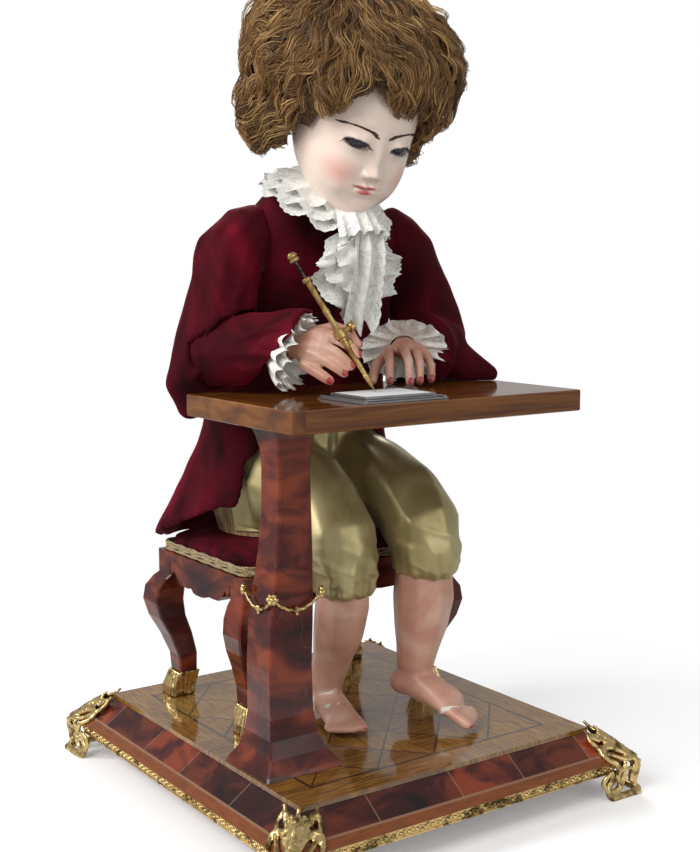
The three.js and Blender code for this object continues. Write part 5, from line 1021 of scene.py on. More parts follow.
# Brows and lashes: fine brown hairs set into the painted wood one by one.
# The brows are combed outwards, and the lashes are long and swept down.
HAIR_DARK = (0.030, 0.012, 0.009, 1)
BROWS = {
    "right": [(-34.5, 13.2), (-28.8, 15.5), (-21.7, 16.4), (-15.3, 15.9), (-8.9, 14.6), (-3.6, 11.6)],
    "left": [(4.4, 11.4), (9.4, 14.4), (15.6, 15.8), (22, 16.2), (29, 15.2), (36, 11.6)],
}
BROW_HAIRS, BROW_RADIUS, BROW_STEP = 190, 0.00019, 1.5
LASHES, LASH_RADIUS = 24, 0.00021
# A lash's least length and how much longer it may be, in millimetres, and the lower lashes' share of it
LASH_LENGTH, LASH_MORE, LOWER_LASHES = 6.0, 2.6, 0.6

lash_finish = grained("lashes", 0.5, [(0.4, HAIR_DARK), (0.8, (0.07, 0.035, 0.018, 1))], 300, 2)
brow_finish = grained("brows", 0.6, [(0.35, HAIR_DARK), (0.7, (0.13, 0.055, 0.035, 1))], 300, 2)


def face_y(x, z):
    """Where the painted face lies at one place, in the head's own millimetres."""
    half, front, back = smooth_between(HEAD_LEVELS, z)
    share = max(0.0, 1 - (abs(x) / half) ** HEAD_ROUND) ** (1 / HEAD_ROUND)
    return (front + back) / 2 - (back - front) / 2 * share - forward_of_face(x, z)


def strand(data, places, tip=0.15):
    """One hair through a list of places, tapering to its tip."""
    last = len(places) - 1
    line_through(data, places, [1 - (1 - tip) * (i / last) ** 1.5 for i in range(last + 1)])


brow_hairs = tubes("brow_hairs", BROW_RADIUS)
for side, points in BROWS.items():
    for i in range(BROW_HAIRS):
        t = (i + random.random()) / BROW_HAIRS * (len(points) - 1.001)
        k = int(t)
        t -= k
        (x0, z0), (x1, z1) = points[k], points[k + 1]
        full = (k + t) / (len(points) - 1)
        inner = full if side == "right" else 1 - full
        thick = 0.35 + 1.0 * inner
        x = x0 + (x1 - x0) * t
        z = z0 + (z1 - z0) * t + random.uniform(-1, 1) * thick * 0.8
        way = -1 if side == "right" else 1
        places = []
        for step in range(4):
            hx = x + way * step * BROW_STEP
            hz = z + 0.3 * step * (0.8 - 1.2 * (1 - inner))
            places.append(on_head(hx, face_y(hx, hz) - 0.12 - 0.1 * step, hz))
        strand(brow_hairs, places)
bodied("brows", round_tubes(brow_hairs), brow_finish, "head", "hair")

for side, name in ((-1, "right"), (1, "left")):
    lashes = tubes("lashes_" + name, LASH_RADIUS)
    for i in range(LASHES * 2):
        t = ((i % LASHES) + random.random()) / LASHES * 2 - 1
        arch = (1 - min(abs(t), 0.98) ** 2) ** 0.8
        x = EYE_X + t * SLIT_HALF
        z = EYE_Z - 0.4 + (SLIT_RISE * arch if i < LASHES else -SLIT_DROP * arch * 0.4)
        y = face_y(side * x, z) + 0.2
        length = (LASH_LENGTH + LASH_MORE * random.random()) * (0.75 + 0.45 * max(t, 0))
        length *= 1.0 if i < LASHES else LOWER_LASHES
        fan = t * 0.95 + 0.2 + random.uniform(-0.12, 0.12)
        places = []
        for step in range(6):
            s = step / 5
            lx = x + length * math.sin(fan) * s
            lz = z - length * math.cos(fan) * (0.55 * s - 0.25 * s * s)
            ly = y - 0.75 * length * s
            places.append(on_head(side * lx, min(ly, face_y(side * lx, lz) - 0.15), lz))
        strand(lashes, places)
    bodied("lashes_" + name, round_tubes(lashes), lash_finish, "head", "hair")

# Wig: soft brown hair dressed in loose waves, brushed up at the brow and curling at the nape.
# Fine strands lie in locks over a foundation coloured dark as painted shade between them; the upper strands of each
# lock are painted lighter as painted highlight, the lower ones darker as painted shade.
LOCKS = 800
BROW_LOCKS = 90
NAPE_LOCKS = 70
STRANDS_IN_LOCK = 12
STRAND_STEPS = 12
STRAND_RADIUS = 0.00031
WIG_PARTS = 7
# From least to most, in metres: a lock's length, its waves and how deep they are, its width and its lift
LOCK_LENGTH, BROW_LOCK_LENGTH = (0.040, 0.078), (0.026, 0.040)
WAVE_LENGTH, WAVE_DEPTH = (0.028, 0.046), (0.0022, 0.0062)
LOCK_WIDTH, LOCK_RISE = (0.0030, 0.0060), (0.0, 0.0075)
LOCK_TONE = (0.10, 0.70)
# How far forward the ears lie and how high the crown, in the head's millimetres
EARS_Y, CROWN_Z = -10, 64
WHORL = on_head(6, 34, 92)
NAPE_FALL = head_turn.to_3x3() @ Vector((0, -0.12, -1))

# The hairline over the forehead, as x and height in the head's millimetres
HAIRLINE = [
    (-60, 8), (-50, 12), (-43, 17), (-38, 26), (-33, 36), (-27, 43), (-15, 45), (-8, 42), (-2, 35), (4, 29), (12, 27),
    (20, 29), (27, 33), (33, 40), (37, 35), (42, 20), (48, 8), (60, 2),
]
head_back = head_place.inverted()


def hairline_at(x):
    """The height of the hairline at one place across the brow, far below at the sides."""
    return read_off(HAIRLINE, x) if HAIRLINE[0][0] <= x <= HAIRLINE[-1][0] else -99.0


def under_hairline(place):
    """Whether a place lies on the bare brow, in front of the ears and below the hairline."""
    local = head_back @ place * 1000
    return local.y < -14 and local.z < hairline_at(local.x)


wig_base = finer("wig", 0.0025, 4)


def before_face():
    """Each point of the wig in front of the face: itself, its place and the head's half width, in millimetres."""
    for vert in wig_base.verts:
        local = head_back @ vert.co * 1000
        if local.y <= EARS_Y and abs(local.z) <= CROWN_Z:
            yield vert, local, smooth_between(HEAD_LEVELS, local.z)[0]


# The hair over the brow is combed thin at its edge, so the forehead shows under it
for vert, local, half in before_face():
    above = local.z - hairline_at(local.x)
    if abs(local.x) > half * 0.98 or above > 18:
        continue
    skin = face_y(local.x, local.z) - 3.4 + 10 * ease(-above / 7)
    thin = ease((EARS_Y - local.y) / 14) * (1 - ease(above / 18)) * ease((half * 0.98 - abs(local.x)) / 6)
    thin *= ease((CROWN_Z - local.z) / 14)
    vert.co = on_head(local.x, local.y + (max(skin, local.y) - local.y) * thin, local.z)
wig_tree = BVHTree.FromBMesh(wig_base)
HAIR_STOPS = [(0.20, (0.050, 0.020, 0.006, 1)), (0.5, (0.24, 0.112, 0.034, 1)), (0.80, (0.66, 0.41, 0.15, 1))]
wig_finish, w_body = finish_of("wig_hair", 0.42, specular_ior_level=0.45, sheen_weight=0.4, sheen_roughness=0.3)
w_body.inputs["Sheen Tint"].default_value = (1, 0.74, 0.36, 1)
# The tone attribute carries each lock's own random tone together with painted highlight on the upper strands and
# painted shade on the lower ones
w_tone_and_light = put(w_body, "Attribute", attribute_name="tone").outputs["Fac"]
w_noise = mottle(own_place(w_body), 38, 3)
w_value = plus(times(w_tone_and_light, 0.78), times(w_noise, 0.22))
wire(w_body, "Base Color", ramp(w_value, HAIR_STOPS))

# The foundation is the wig's cap, coloured dark so that it reads as painted shade in the gaps between the locks
FOUNDATION_SHADE_STOPS = [(0.35, (0.045, 0.019, 0.006, 1)), (0.7, (0.20, 0.098, 0.032, 1))]
foundation_finish = grained(
    "wig_foundation", 0.8, FOUNDATION_SHADE_STOPS, 520, 4, (1, 1, 0.16), 1.2, relief=(0.8, 0.002),
)

faces = [(face.calc_center_median(), face.normal.copy(), face.calc_area()) for face in wig_base.faces]
middle_of_head = on_head(0, 5, 15)
outer_faces = [f for f in faces if f[1].dot((f[0] - middle_of_head).normalized()) > 0.15]


def over_brow(place):
    """Whether a place lies on the roll of hair that rises from the hairline."""
    local = head_back @ place * 1000
    return local.y < -14 and -1 < local.z - hairline_at(local.x) < 24 and abs(local.x) < 46


def at_nape(place):
    """Whether a place lies on the lowest part of the wig behind the ears."""
    local = head_back @ place * 1000
    return local.y > 12 and local.z < -2


brow_faces = [f for f in faces if over_brow(f[0])]
nape_faces = [f for f in outer_faces if at_nape(f[0])]
roots = []
for some_faces, amount, rising in (
    (outer_faces, LOCKS, False), (brow_faces, BROW_LOCKS, True), (nape_faces, NAPE_LOCKS, False),
):
    pitch = sum(f[2] for f in some_faces) / amount
    running = pitch * 0.5
    for place, normal, area in some_faces:
        running += area
        while running >= pitch:
            running -= pitch
            roots.append((place, normal, rising))
random.shuffle(roots)


def flow(place, normal):
    """Which way the hair lies at a place: away from the whorl, and swirled in broad waves."""
    away = place - WHORL
    away -= normal * away.dot(normal)
    away = away.normalized() if away.length > 1e-6 else Vector((1, 0, 0))
    swirl = noise.noise(place * 13) * 1.5 + noise.noise(place * 30 + Vector((3, 1, 2))) * 0.7
    return Matrix.Rotation(swirl, 3, normal) @ away


HEAD_UP = head_turn.to_3x3() @ Vector((0, 0, 1))


def rise_from_brow(place, normal):
    """The way the hair is brushed up and aside from the hairline."""
    up = HEAD_UP - normal * HEAD_UP.dot(normal)
    return Matrix.Rotation(noise.noise(place * 24) * 2.4, 3, normal) @ up.normalized()


for part in range(WIG_PARTS):
    tresses = tubes("tresses", STRAND_RADIUS)
    tones_and_painted_light = []
    for root, root_normal, rising in roots[part::WIG_PARTS]:
        length = random.uniform(*(BROW_LOCK_LENGTH if rising else LOCK_LENGTH))
        wave_length = random.uniform(*WAVE_LENGTH)
        depth = random.uniform(*WAVE_DEPTH)
        phase = random.uniform(0, math.tau)
        width = random.uniform(*LOCK_WIDTH)
        lock_tone = random.uniform(*LOCK_TONE)
        rise = random.uniform(*LOCK_RISE)
        guide = []
        hanging = 0
        place, normal = root.copy(), root_normal.copy()
        step_length = length / (STRAND_STEPS - 1)
        for step in range(STRAND_STEPS):
            way = rise_from_brow(place, normal) if rising else flow(place, normal)
            side = normal.cross(way).normalized()
            s = step / (STRAND_STEPS - 1)
            turn = math.tau * s * length / wave_length + phase
            sway = side * math.sin(turn) * depth * (0.6 + 0.8 * s)
            lift = normal * (rise * math.sin(s * math.pi) - 0.0030 + math.cos(turn) * depth * 0.45)
            guide.append((place + sway + lift, side, normal.copy(), s))
            ahead = place + way * step_length
            found, found_normal, _, _ = wig_tree.find_nearest(ahead)
            outward = (found - middle_of_head).normalized()
            if not rising and (found_normal.dot(outward) < -0.15 or under_hairline(found)):
                # At the nape the ends hang free below the foundation
                if (head_back @ place).y < 0.002 or hanging > 8:
                    break
                hanging += 1
                place = place + (way * 0.35 + NAPE_FALL).normalized() * step_length
                continue
            place = found
            normal = (normal * 0.35 + found_normal * 0.65).normalized()
        if len(guide) < 4:
            continue
        for one in range(STRANDS_IN_LOCK):
            across = random.uniform(-1, 1)
            over = random.uniform(-0.6, 1)
            stray = random.uniform(-1, 1) * 0.0016
            start = random.randint(0, min(2, len(guide) - 4))
            places = []
            for at, side, up, s in guide[start:]:
                spread = width * (0.45 + 0.75 * math.sin(math.pi * min(1, s * 0.85 + 0.12)))
                spread *= 1 - 0.75 * s ** 3
                wobble = noise.noise(at * 42 + Vector((one * 3.1, 0, 0))) * 0.0010
                places.append(at + side * (across * spread + stray * s + wobble) + up * over * spread * 0.45)
            strand(tresses, places, 0.3)
            # Each strand's tone: its lock's random tone, lighter on top of the lock as painted highlight and darker
            # beneath as painted shade
            tones_and_painted_light += [min(1, max(0, lock_tone + 0.30 * over + random.uniform(-0.14, 0.14)))] * len(places)
    piece = bodied("wig_tresses_" + str(part + 1), round_tubes(tresses), wig_finish, "head", "hair")
    layer = piece.data.attributes.new("tone", "FLOAT", "POINT")
    per_place = len(piece.data.vertices) // len(tones_and_painted_light)
    spread_tones_and_light = [tone for tone in tones_and_painted_light for _ in range(per_place)]
    spread_tones_and_light += [0.5] * (len(piece.data.vertices) - len(spread_tones_and_light))
    layer.data.foreach_set("value", spread_tones_and_light)

push(wig_base, lambda at, normal: -0.0046 + noise.noise(at * 60) * 0.0015)
# Over the brow the foundation is cut back under the skin, so only the strands show there
for vert, local, half in before_face():
    cut = ease((22 - local.z + hairline_at(local.x)) / 5)
    cut *= ease((half - abs(local.x)) / 3) * ease((EARS_Y - local.y) / 6)
    vert.co = on_head(local.x, local.y + max(face_y(local.x, local.z) + 5 - local.y, 0) * cut, local.z)
bodied("wig_foundation", wig_base, foundation_finish, "head", "hair", "wig")

# Hands, arms and legs: carved in limewood, then painted flesh pink and varnished.
# The paint has flaked to its white ground in places, and the nails are painted red.
FLESH = (0.60, 0.33, 0.235, 1)
FLESH_PALE = (0.70, 0.45, 0.35, 1)
FLESH_ROSE = (0.50, 0.22, 0.155, 1)
GROUND_WHITE = (0.78, 0.72, 0.64, 1)
NAIL_RED = (0.42, 0.035, 0.035, 1)
FINGER_RADIUS = 4.7
TOE_RADIUS = 4.6
# The last three joints of every finger and thumb, in millimetres
FINGER_ENDS = {
    "hand": [
        [(-59.5, -88, 402.5), (-54.8, -95, 397), (-52.6, -98.5, 391)],
        [(-66, -88, 393), (-61, -94, 387), (-57.5, -97, 382)],
        [(-71, -86, 385.5), (-66.5, -92, 380.5), (-62.5, -95, 376.5)],
        [(-79.5, -80, 378), (-76, -86, 374), (-73, -90, 371)],
        [(-56, -72, 413), (-48, -82, 408), (-46.5, -91, 399)],
    ],
    "plinth": [
        [(35, -24, 386), (26, -38, 378), (20, -46, 361.8)], [(46, -33, 388.5), (37, -51, 380), (31, -61, 361.8)],
        [(60, -33, 386.5), (51, -49, 378), (45, -57, 361.8)], [(77, -27, 380.5), (70, -41, 374), (65, -48, 361.8)],
        [(32, -14, 377), (21, -22, 369), (12, -32, 362.4)],
    ],
}
# Where each foot's toes start, the way they point, the way across and the way down
TOE_FANS = [
    ((-32, -50, 63.8), (-0.24, -0.96, -0.06), (0.96, -0.24, 0), (0, 0, 1)),
    ((58, -100, 70.5), (0.33, -0.86, -0.42), (-0.93, -0.36, 0), (0, 0.3, 0.95)),
]
# The big toe: its radius, and how far it lies ahead and to the side, in toe radii
BIG_TOE, BIG_TOE_AHEAD, BIG_TOE_ASIDE = 0.95, 3.9, 2.6

skin_finish, k_body = finish_of("painted_skin", 0.42, coat_weight=0.1, coat_roughness=0.2)
k_place = own_place(k_body)
k_patch = mottle(k_place, 32, 5, 0.6)
k_colour = ramp(k_patch, [(0.3, FLESH_ROSE), (0.52, FLESH), (0.74, FLESH_PALE)])
k_worn = remap(split(k_place)[2], 0.16, 0.06)
k_flake = plus(mottle(k_place, 46, 9, 1.1), times(k_worn, 0.145))
k_chip = remap(k_flake, 0.782, 0.794)
k_craze = near(mottle(k_place, 75, 6, 2.2), 0.5, 0.004)
k_marks = calc("MAXIMUM", k_chip, times(k_craze, times(k_worn, 0.25)))
wire(k_body, "Base Color", blend_colours(k_marks, k_colour, GROUND_WHITE))
wire(k_body, "Roughness", remap(k_marks, 0.0, 1.0, 0.42, 0.8))
k_relief = minus(mottle(k_place, 140, 4), times(k_chip, 0.6))
bump(k_body, k_relief, 0.3, 0.0004)

nail_finish = grained(
    "nail_red", 0.2, [(0.3, (0.3, 0.02, 0.02, 1)), (0.6, NAIL_RED)], 420, 3, coat_weight=0.6,
)

for node, body, voxel in (
    ("right_hand", "hand", 0.0008), ("left_arm_and_hand", "plinth", 0.0010),
    ("leg_right", "plinth", 0.0014), ("leg_left", "plinth", 0.0014),
):
    limb = finer(node, voxel, 8 if "hand" in node else 26)
    push(limb, lambda at, normal: 0.0003 + noise.noise(at * 55) * 0.0004)
    bodied("carved_" + node, limb, skin_finish, body, "painted_skin", node)


def aim(way, up):
    """A turn whose y runs along a way and whose z lies as near up as it can."""
    along = Vector(way).normalized()
    over = Vector(up)
    over = (over - along * over.dot(along)).normalized()
    across = along.cross(over)
    return Matrix((across, along, over)).transposed().to_4x4()


def nail(shape, tip, way, up, radius):
    """One painted nail lying on the end of a finger or toe, sizes in millimetres."""
    turn = aim(way, up)
    at = Vector(tip) + turn.to_3x3() @ Vector((0, -radius * 0.02, radius * 0.80))
    tilt = turn @ Matrix.Rotation(-0.35, 4, "X")
    size = (radius * 0.62 / 1000, radius * 0.80 / 1000, radius * 0.26 / 1000)
    oval(shape, at / 1000, size, tilt, divisions=3)


for body, fingers in FINGER_ENDS.items():
    nails = bmesh.new()
    for before, middle, tip in fingers:
        way = Vector(tip) - Vector(middle)
        nail(nails, tip, way, Vector(middle) - Vector(before), FINGER_RADIUS * 0.87)
    bodied("finger_nails_" + body, nails, nail_finish, body, "painted_skin")

toe_nails = bmesh.new()
for root, ahead, across, down in TOE_FANS:
    ahead = Vector(ahead).normalized()
    radius = TOE_RADIUS * BIG_TOE
    start = Vector(root) + Vector(across) * TOE_RADIUS * BIG_TOE_ASIDE + Vector(down) * (radius - TOE_RADIUS)
    nail(toe_nails, start + ahead * TOE_RADIUS * BIG_TOE_AHEAD, ahead, (0, 0, 1), radius * 0.92)
bodied("toe_nails", toe_nails, nail_finish, "plinth", "painted_skin")

# Pen: a quill holder turned in brass, with a steel plunger that slides in it and a brass knob.
# A brass collar with a thumb screw clips it to the fingers of the right hand.
PEN_TIP = Vector((-0.041, -0.108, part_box("paper_card")[1].z + 0.0003))
PEN_WAY = Vector((-54, 43, 111.5)).normalized()
PEN_LENGTH = 0.131
PEN_SIDES = 36
TUBE_RADIUS = 0.0024
TUBE_BORE = 0.0016
TUBE_FROM, TUBE_TO = 0.172 * PEN_LENGTH, 0.82 * PEN_LENGTH
TUBE_SPAN = TUBE_TO - TUBE_FROM
CLAMP_AT = 0.42 * PEN_LENGTH
SCREW_WAY = Vector((111.5, 0, 54)).normalized()

pen_brass = gilt("pen_brass", (0.58, 0.40, 0.155, 1), (0.24, 0.14, 0.045, 1), 70, 0.22)
pen_steel = grained(
    "pen_steel", 0.3, [(0.35, (0.035, 0.03, 0.03, 1)), (0.7, (0.20, 0.19, 0.18, 1))], 190, 4, metallic=1.0,
)


def turned_piece(profile, shape=None, start=PEN_TIP, way=PEN_WAY):
    """A lathe-turned solid: its outline, given as (distance, radius) in metres, spun about a line."""
    shape = shape or bmesh.new()
    way = way.normalized()
    across = way.orthogonal().normalized()
    points = [(profile[0][0], 0.0)] + list(profile) + [(profile[-1][0], 0.0)]
    verts = [shape.verts.new(start + way * along + across * radius) for along, radius in points]
    edges = [shape.edges.new(pair) for pair in zip(verts, verts[1:])]
    bmesh.ops.spin(
        shape, geom=verts + edges, cent=start, axis=way, dvec=(0, 0, 0), angle=math.tau, steps=PEN_SIDES,
        use_merge=True,
    )
    bmesh.ops.remove_doubles(shape, verts=shape.verts, dist=0.000001)
    bmesh.ops.recalc_face_normals(shape, faces=shape.faces)
    return shape


# The tube's outline: its end, the rings at shares of its span, and its bored top
bands = [(TUBE_FROM, TUBE_RADIUS * 0.9), (TUBE_FROM + 0.0006, TUBE_RADIUS)] + [
    (TUBE_FROM + TUBE_SPAN * share, TUBE_RADIUS * thick) for share, thick in (
        (0.30, 1), (0.31, 1.12), (0.33, 1.12), (0.34, 1), (0.6, 1), (0.605, 1.2), (0.65, 1.2), (0.655, 1),
        (0.955, 1), (0.965, 1.6),
    )
] + [
    (TUBE_TO - 0.0004, TUBE_RADIUS * 1.6), (TUBE_TO, TUBE_RADIUS * 1.45), (TUBE_TO, TUBE_BORE),
    (TUBE_TO - 0.004, TUBE_BORE),
]
bodied("pen_holder", turned_piece(bands), pen_brass, "hand", "pen_brass", "pen_tube", smooth=False)

# The other turned parts, as (share of the pen's length, radius in metres)
POINT = [
    (0.0, 0.00025), (0.035, 0.0008), (0.045, 0.0014), (0.1, 0.0019), (0.105, 0.0024), (0.12, 0.0024),
    (0.125, 0.0020), (0.17, TUBE_RADIUS * 0.93),
]
PLUNGER = [(0.5, 0.0011), (0.88, 0.0011), (0.883, 0.0015), (0.90, 0.0015), (0.903, 0.0011), (0.945, 0.0011)]
KNOB = [
    (0.941, 0.0034), (0.944, 0.0043), (0.958, 0.0043), (0.961, 0.0036), (0.968, 0.0030), (0.971, 0.0043),
    (0.985, 0.0043), (0.99, 0.0036), (1.002, 0.0022),
]
for name, profile, finish, body, slot, nodes in (
    ("quill_point", POINT, pen_brass, "hand", "pen_brass", ["pen_nib"]),
    ("pen_plunger", PLUNGER, pen_steel, "pen_plunger", "pen_steel", ["pen_rod"]),
    ("pen_knob", KNOB, pen_brass, "pen_plunger", "pen_brass", []),
):
    turned = turned_piece([(PEN_LENGTH * share, radius) for share, radius in profile])
    bodied(name, turned, finish, body, slot, *nodes, smooth=False)

clamp = turned_piece([
    (CLAMP_AT - 0.0038, 0.0034), (CLAMP_AT - 0.0034, 0.0050), (CLAMP_AT + 0.0034, 0.0050),
    (CLAMP_AT + 0.0038, 0.0034),
])
turned_piece([
    (0, 0.0028), (0.0055, 0.0022), (0.0062, 0.0040), (0.0068, 0.0043), (0.0100, 0.0043), (0.0106, 0.0038),
    (0.0108, 0.0014), (0.0112, 0.0012),
], clamp, PEN_TIP + PEN_WAY * CLAMP_AT + SCREW_WAY * 0.004, SCREW_WAY)
for share in (0.30, 0.34):
    at = PEN_TIP + PEN_WAY * PEN_LENGTH * share + SCREW_WAY * 0.0036
    oval(clamp, at, (0.0030, 0.0042, 0.0022), aim(PEN_WAY, SCREW_WAY), divisions=2)
bodied("pen_clip", clamp, pen_brass, "hand", "pen_brass", "pen_clamp", smooth=False)

# Breeches: olive-gold satin, full over the thighs and gathered into bands below the knees.
# The cloth is cut large, so it lies in soft shining folds that run to the knee and the seams.
SATIN_SHADE = (0.27, 0.21, 0.075, 1)
SATIN_MID = (0.42, 0.345, 0.15, 1)
SATIN_LIGHT = (0.60, 0.52, 0.28, 1)
BETWEEN_KNEES = 0.011
# How deep the cloth's gathers, its pinched band, its long folds and the knees' creases are, in metres
GATHERS, PINCH, LONG_FOLDS, KNEE_CREASES = 0.0015, 0.0012, 0.0042, 0.0024
# How high above the hem the gathers and the band reach
GATHERS_HEIGHT, BAND_HEIGHT = 0.030, 0.006
# The middle of each leg's hem
HEMS = [Vector((-0.028, -0.044, 0.177)), Vector((0.050, -0.059, 0.190))]

satin_finish, t_body = finish_of(
    "breeches_satin", 0.36, metallic=0.5, specular_ior_level=0.8, sheen_weight=0.1,
)
# Broad lighter and darker patches placed by noise over the satin's colour: painted sheen and painted shade
t_painted_sheen = mottle(own_place(t_body, (1, 1, 0.5)), 22, 3, 0.9)
t_weave = mottle(own_place(t_body, (3, 3, 0.5)), 900, 2)
t_stops = [(0.25, SATIN_SHADE), (0.5, SATIN_MID), (0.78, SATIN_LIGHT)]
wire(t_body, "Base Color", ramp(t_painted_sheen, t_stops))
bump(t_body, t_weave, 0.18, 0.0002)


def satin_folds(at, normal):
    """Folds round each knee and gathers above each hem."""
    side = 0 if at.x < BETWEEN_KNEES else 1
    hem = HEMS[side]
    around = math.atan2(at.x - hem.x, -(at.y - hem.y))
    low = ease((hem.z + GATHERS_HEIGHT - at.z) / GATHERS_HEIGHT)
    gather = math.sin(around * 11 + noise.noise(at * 30) * 3) * 0.6 + math.sin(around * 19 + 1.7) * 0.4
    total = gather * GATHERS * low - PINCH * ease((hem.z + BAND_HEIGHT - at.z) / BAND_HEIGHT)
    long_place = Vector((at.x * 24 + at.z * 8, at.y * 8, at.z * 7 - at.x * 6))
    ridge = 1 - abs(noise.noise(long_place + Vector((side * 7, 0, 0))) * 2.0)
    total += (max(ridge, 0) ** 1.8 - 0.4) * LONG_FOLDS * (1 - 0.5 * low)
    knee_height = ease((at.z - hem.z) / 0.02) * ease((hem.z + 0.062 - at.z) / 0.03)
    crumple = 1 - abs(noise.noise(Vector((at.x * 20, at.y * 16, at.z * 62 + at.x * 18))) * 2.2)
    total += (max(crumple, 0) ** 2 - 0.3) * KNEE_CREASES * knee_height
    return total


breeches_shape = finer("breeches", 0.0022, 22)
push(breeches_shape, satin_folds)
soften(breeches_shape)
bodied("satin_breeches", breeches_shape, satin_finish, "plinth", "breeches_satin", "breeches")

# Coat: crimson silk velvet, cut full over the back of the stool, its back panel opening with the door.
# The wide sleeves hang in soft folds from the shoulders and are turned back over the lace cuffs.
ELBOW = Vector((-0.117, 0.020, 0.391))
# How deep the velvet's hanging, broad and fine folds and the elbow's fan of folds are, in metres
HANGING, BROAD, FINE, ELBOW_FAN = 0.0042, 0.0036, 0.0009, 0.0040
# The coat's neck, the height from which it is raised, and how much; where its hem starts to flare
COAT_NECK, NECK_REACH, NECK_FROM, NECK_RAISED = (-0.014, -0.006), 0.080, 0.465, 0.008
HEM_FROM, HEM_DEPTH, HEM_FLARE, HEM_DROP = 0.262, 0.05, 0.007, 0.0075


def soft_folds(at, normal):
    """Broad soft folds that hang down the velvet."""
    hang = noise.noise(Vector((at.x * 26, at.y * 26, at.z * 7))) * HANGING
    broad = noise.noise(at * 11 + Vector((4, 2, 1))) * BROAD
    return hang + broad + noise.noise(at * 48) * FINE


def sleeve_folds(at, normal):
    """Folds that fan out from the bent elbow, over the soft folds of the velvet."""
    away = at - ELBOW
    angle = math.atan2(away.z, away.x * 0.6 + away.y * -0.8)
    far = away.length
    fan = 1 - abs(noise.noise(Vector((angle * 2.6, far * 9, at.y * 6))) * 2.2)
    near_elbow = ease((far - 0.035) / 0.04) * ease((0.16 - far) / 0.1)
    return soft_folds(at, normal) * 0.8 + (max(fan, 0) ** 1.5 - 0.4) * ELBOW_FAN * near_elbow


for node, body, voxel, folds in (
    ("coat_body", "plinth", 0.0027, soft_folds), ("coat_back_panel", "door", 0.0022, soft_folds),
    ("sleeve_right_upper", "upper_arm", 0.0019, sleeve_folds),
    ("sleeve_right_lower", "forearm", 0.0016, sleeve_folds),
):
    velvet_shape = finer(node, voxel, 10)
    push(velvet_shape, folds)
    if node == "coat_body":
        for vert in velvet_shape.verts:
            hem = ease((HEM_FROM - vert.co.z) / HEM_DEPTH)
            from_neck = math.hypot(vert.co.x - COAT_NECK[0], vert.co.y - COAT_NECK[1])
            vert.co.z += NECK_RAISED * ease((NECK_REACH - from_neck) / 0.04) * ease((vert.co.z - NECK_FROM) / 0.02)
            flare = math.copysign(HEM_FLARE, vert.co.x) * min(1, abs(vert.co.x) / 0.05)
            vert.co += Vector((flare, 0.0, -HEM_DROP)) * hem
    soften(velvet_shape)
    bodied("velvet_" + node, velvet_shape, coat_velvet, body, "coat_velvet", node)

# The left sleeve: x, y, height and radius at stations from inside the armhole to its mouth, in millimetres
LEFT_SLEEVE = [
    (54, 16, 500, 20), (68, 16, 489, 27), (80, 16, 474, 31), (92, 18, 454, 31.5), (104, 20, 430, 32),
    (114, 21, 408, 32.5), (117, 17, 393, 33), (108, 9, 388, 33.5), (94, 2, 387.5, 34), (80, -6, 388, 35),
]
# Its turned-back corner, which lies on the table
LEFT_CORNER = [(108, 0, 384, 25), (122, -14, 374, 19), (134, -26, 367, 12), (146, -40, 361, 4)]
TABLE_CLEARANCE = 0.0006


def tube_of_cloth(shape, stations, sides=28):
    """A closed tube through stations, its rings kept square to its run."""
    places = [Vector(row[:3]) / 1000 for row in stations]
    rings = []
    for i, (place, row) in enumerate(zip(places, stations)):
        way = (places[min(i + 1, len(places) - 1)] - places[max(i - 1, 0)]).normalized()
        turn = way.to_track_quat("Z", "Y").to_matrix().to_4x4()
        at = Matrix.Translation(place) @ turn
        ring = bmesh.ops.create_circle(shape, segments=sides, radius=row[3] / 1000, matrix=at)["verts"]
        rings.append(ring)
    for first, last in zip(rings, rings[1:]):
        edges = [e for ring in (first, last) for v in ring for e in v.link_edges if e.other_vert(v) in ring]
        bmesh.ops.bridge_loops(shape, edges=list(set(edges)))
    for ring in (rings[0], rings[-1]):
        shape.faces.new(ring)
    bmesh.ops.recalc_face_normals(shape, faces=shape.faces)


sleeve_shape = bmesh.new()
tube_of_cloth(sleeve_shape, LEFT_SLEEVE)
corner_shape = bmesh.new()
tube_of_cloth(corner_shape, LEFT_CORNER)
corner_mesh = bpy.data.meshes.new("sleeve_corner")
corner_shape.to_mesh(corner_mesh)
corner_shape.free()
sleeve_shape.from_mesh(corner_mesh)
bpy.data.meshes.remove(corner_mesh)
sleeve_shape = redraw(sleeve_shape, 0.0018, 14)


def left_folds(at, normal):
    """Soft folds, deeper where the sleeve bends at the elbow."""
    bend = ease((0.42 - at.z) / 0.05)
    slant = noise.noise(Vector(((at.x + at.z) * 44, at.y * 20, (at.z - at.x) * 12)))
    return soft_folds(at, normal) + (1 - abs(slant) * 2.2) * 0.0022 * bend


push(sleeve_shape, left_folds)
for vert in sleeve_shape.verts:
    over_table = vert.co.y < table_high.y + 0.004 and abs(vert.co.x) < table_high.x + 0.003
    if over_table and vert.co.z < table_high.z + TABLE_CLEARANCE:
        vert.co.z = table_high.z + TABLE_CLEARANCE + (vert.co.z - table_high.z) * 0.01
bodied("velvet_sleeve_left", sleeve_shape, coat_velvet, "plinth", "coat_velvet", "sleeve_left")

# Lace: bobbin lace with a scalloped edge, gathered into a collar, a jabot and a ruffle at each wrist.
# Fine cream thread in flowers and rows of eyelets over a clear ground.
LACE_CREAM = (0.93, 0.92, 0.86, 1)
LACE_SHADE = (0.80, 0.80, 0.77, 1)
EYELET_PITCH = 0.0019
SCALLOP = 0.0078
LACE_EDGE = 0.0016
# How much longer a strip is than the frill it is gathered into, and its grid of points
FULLNESS = 2.1
COLUMNS_IN_PLEAT, FRILL_ROWS = 14, 12

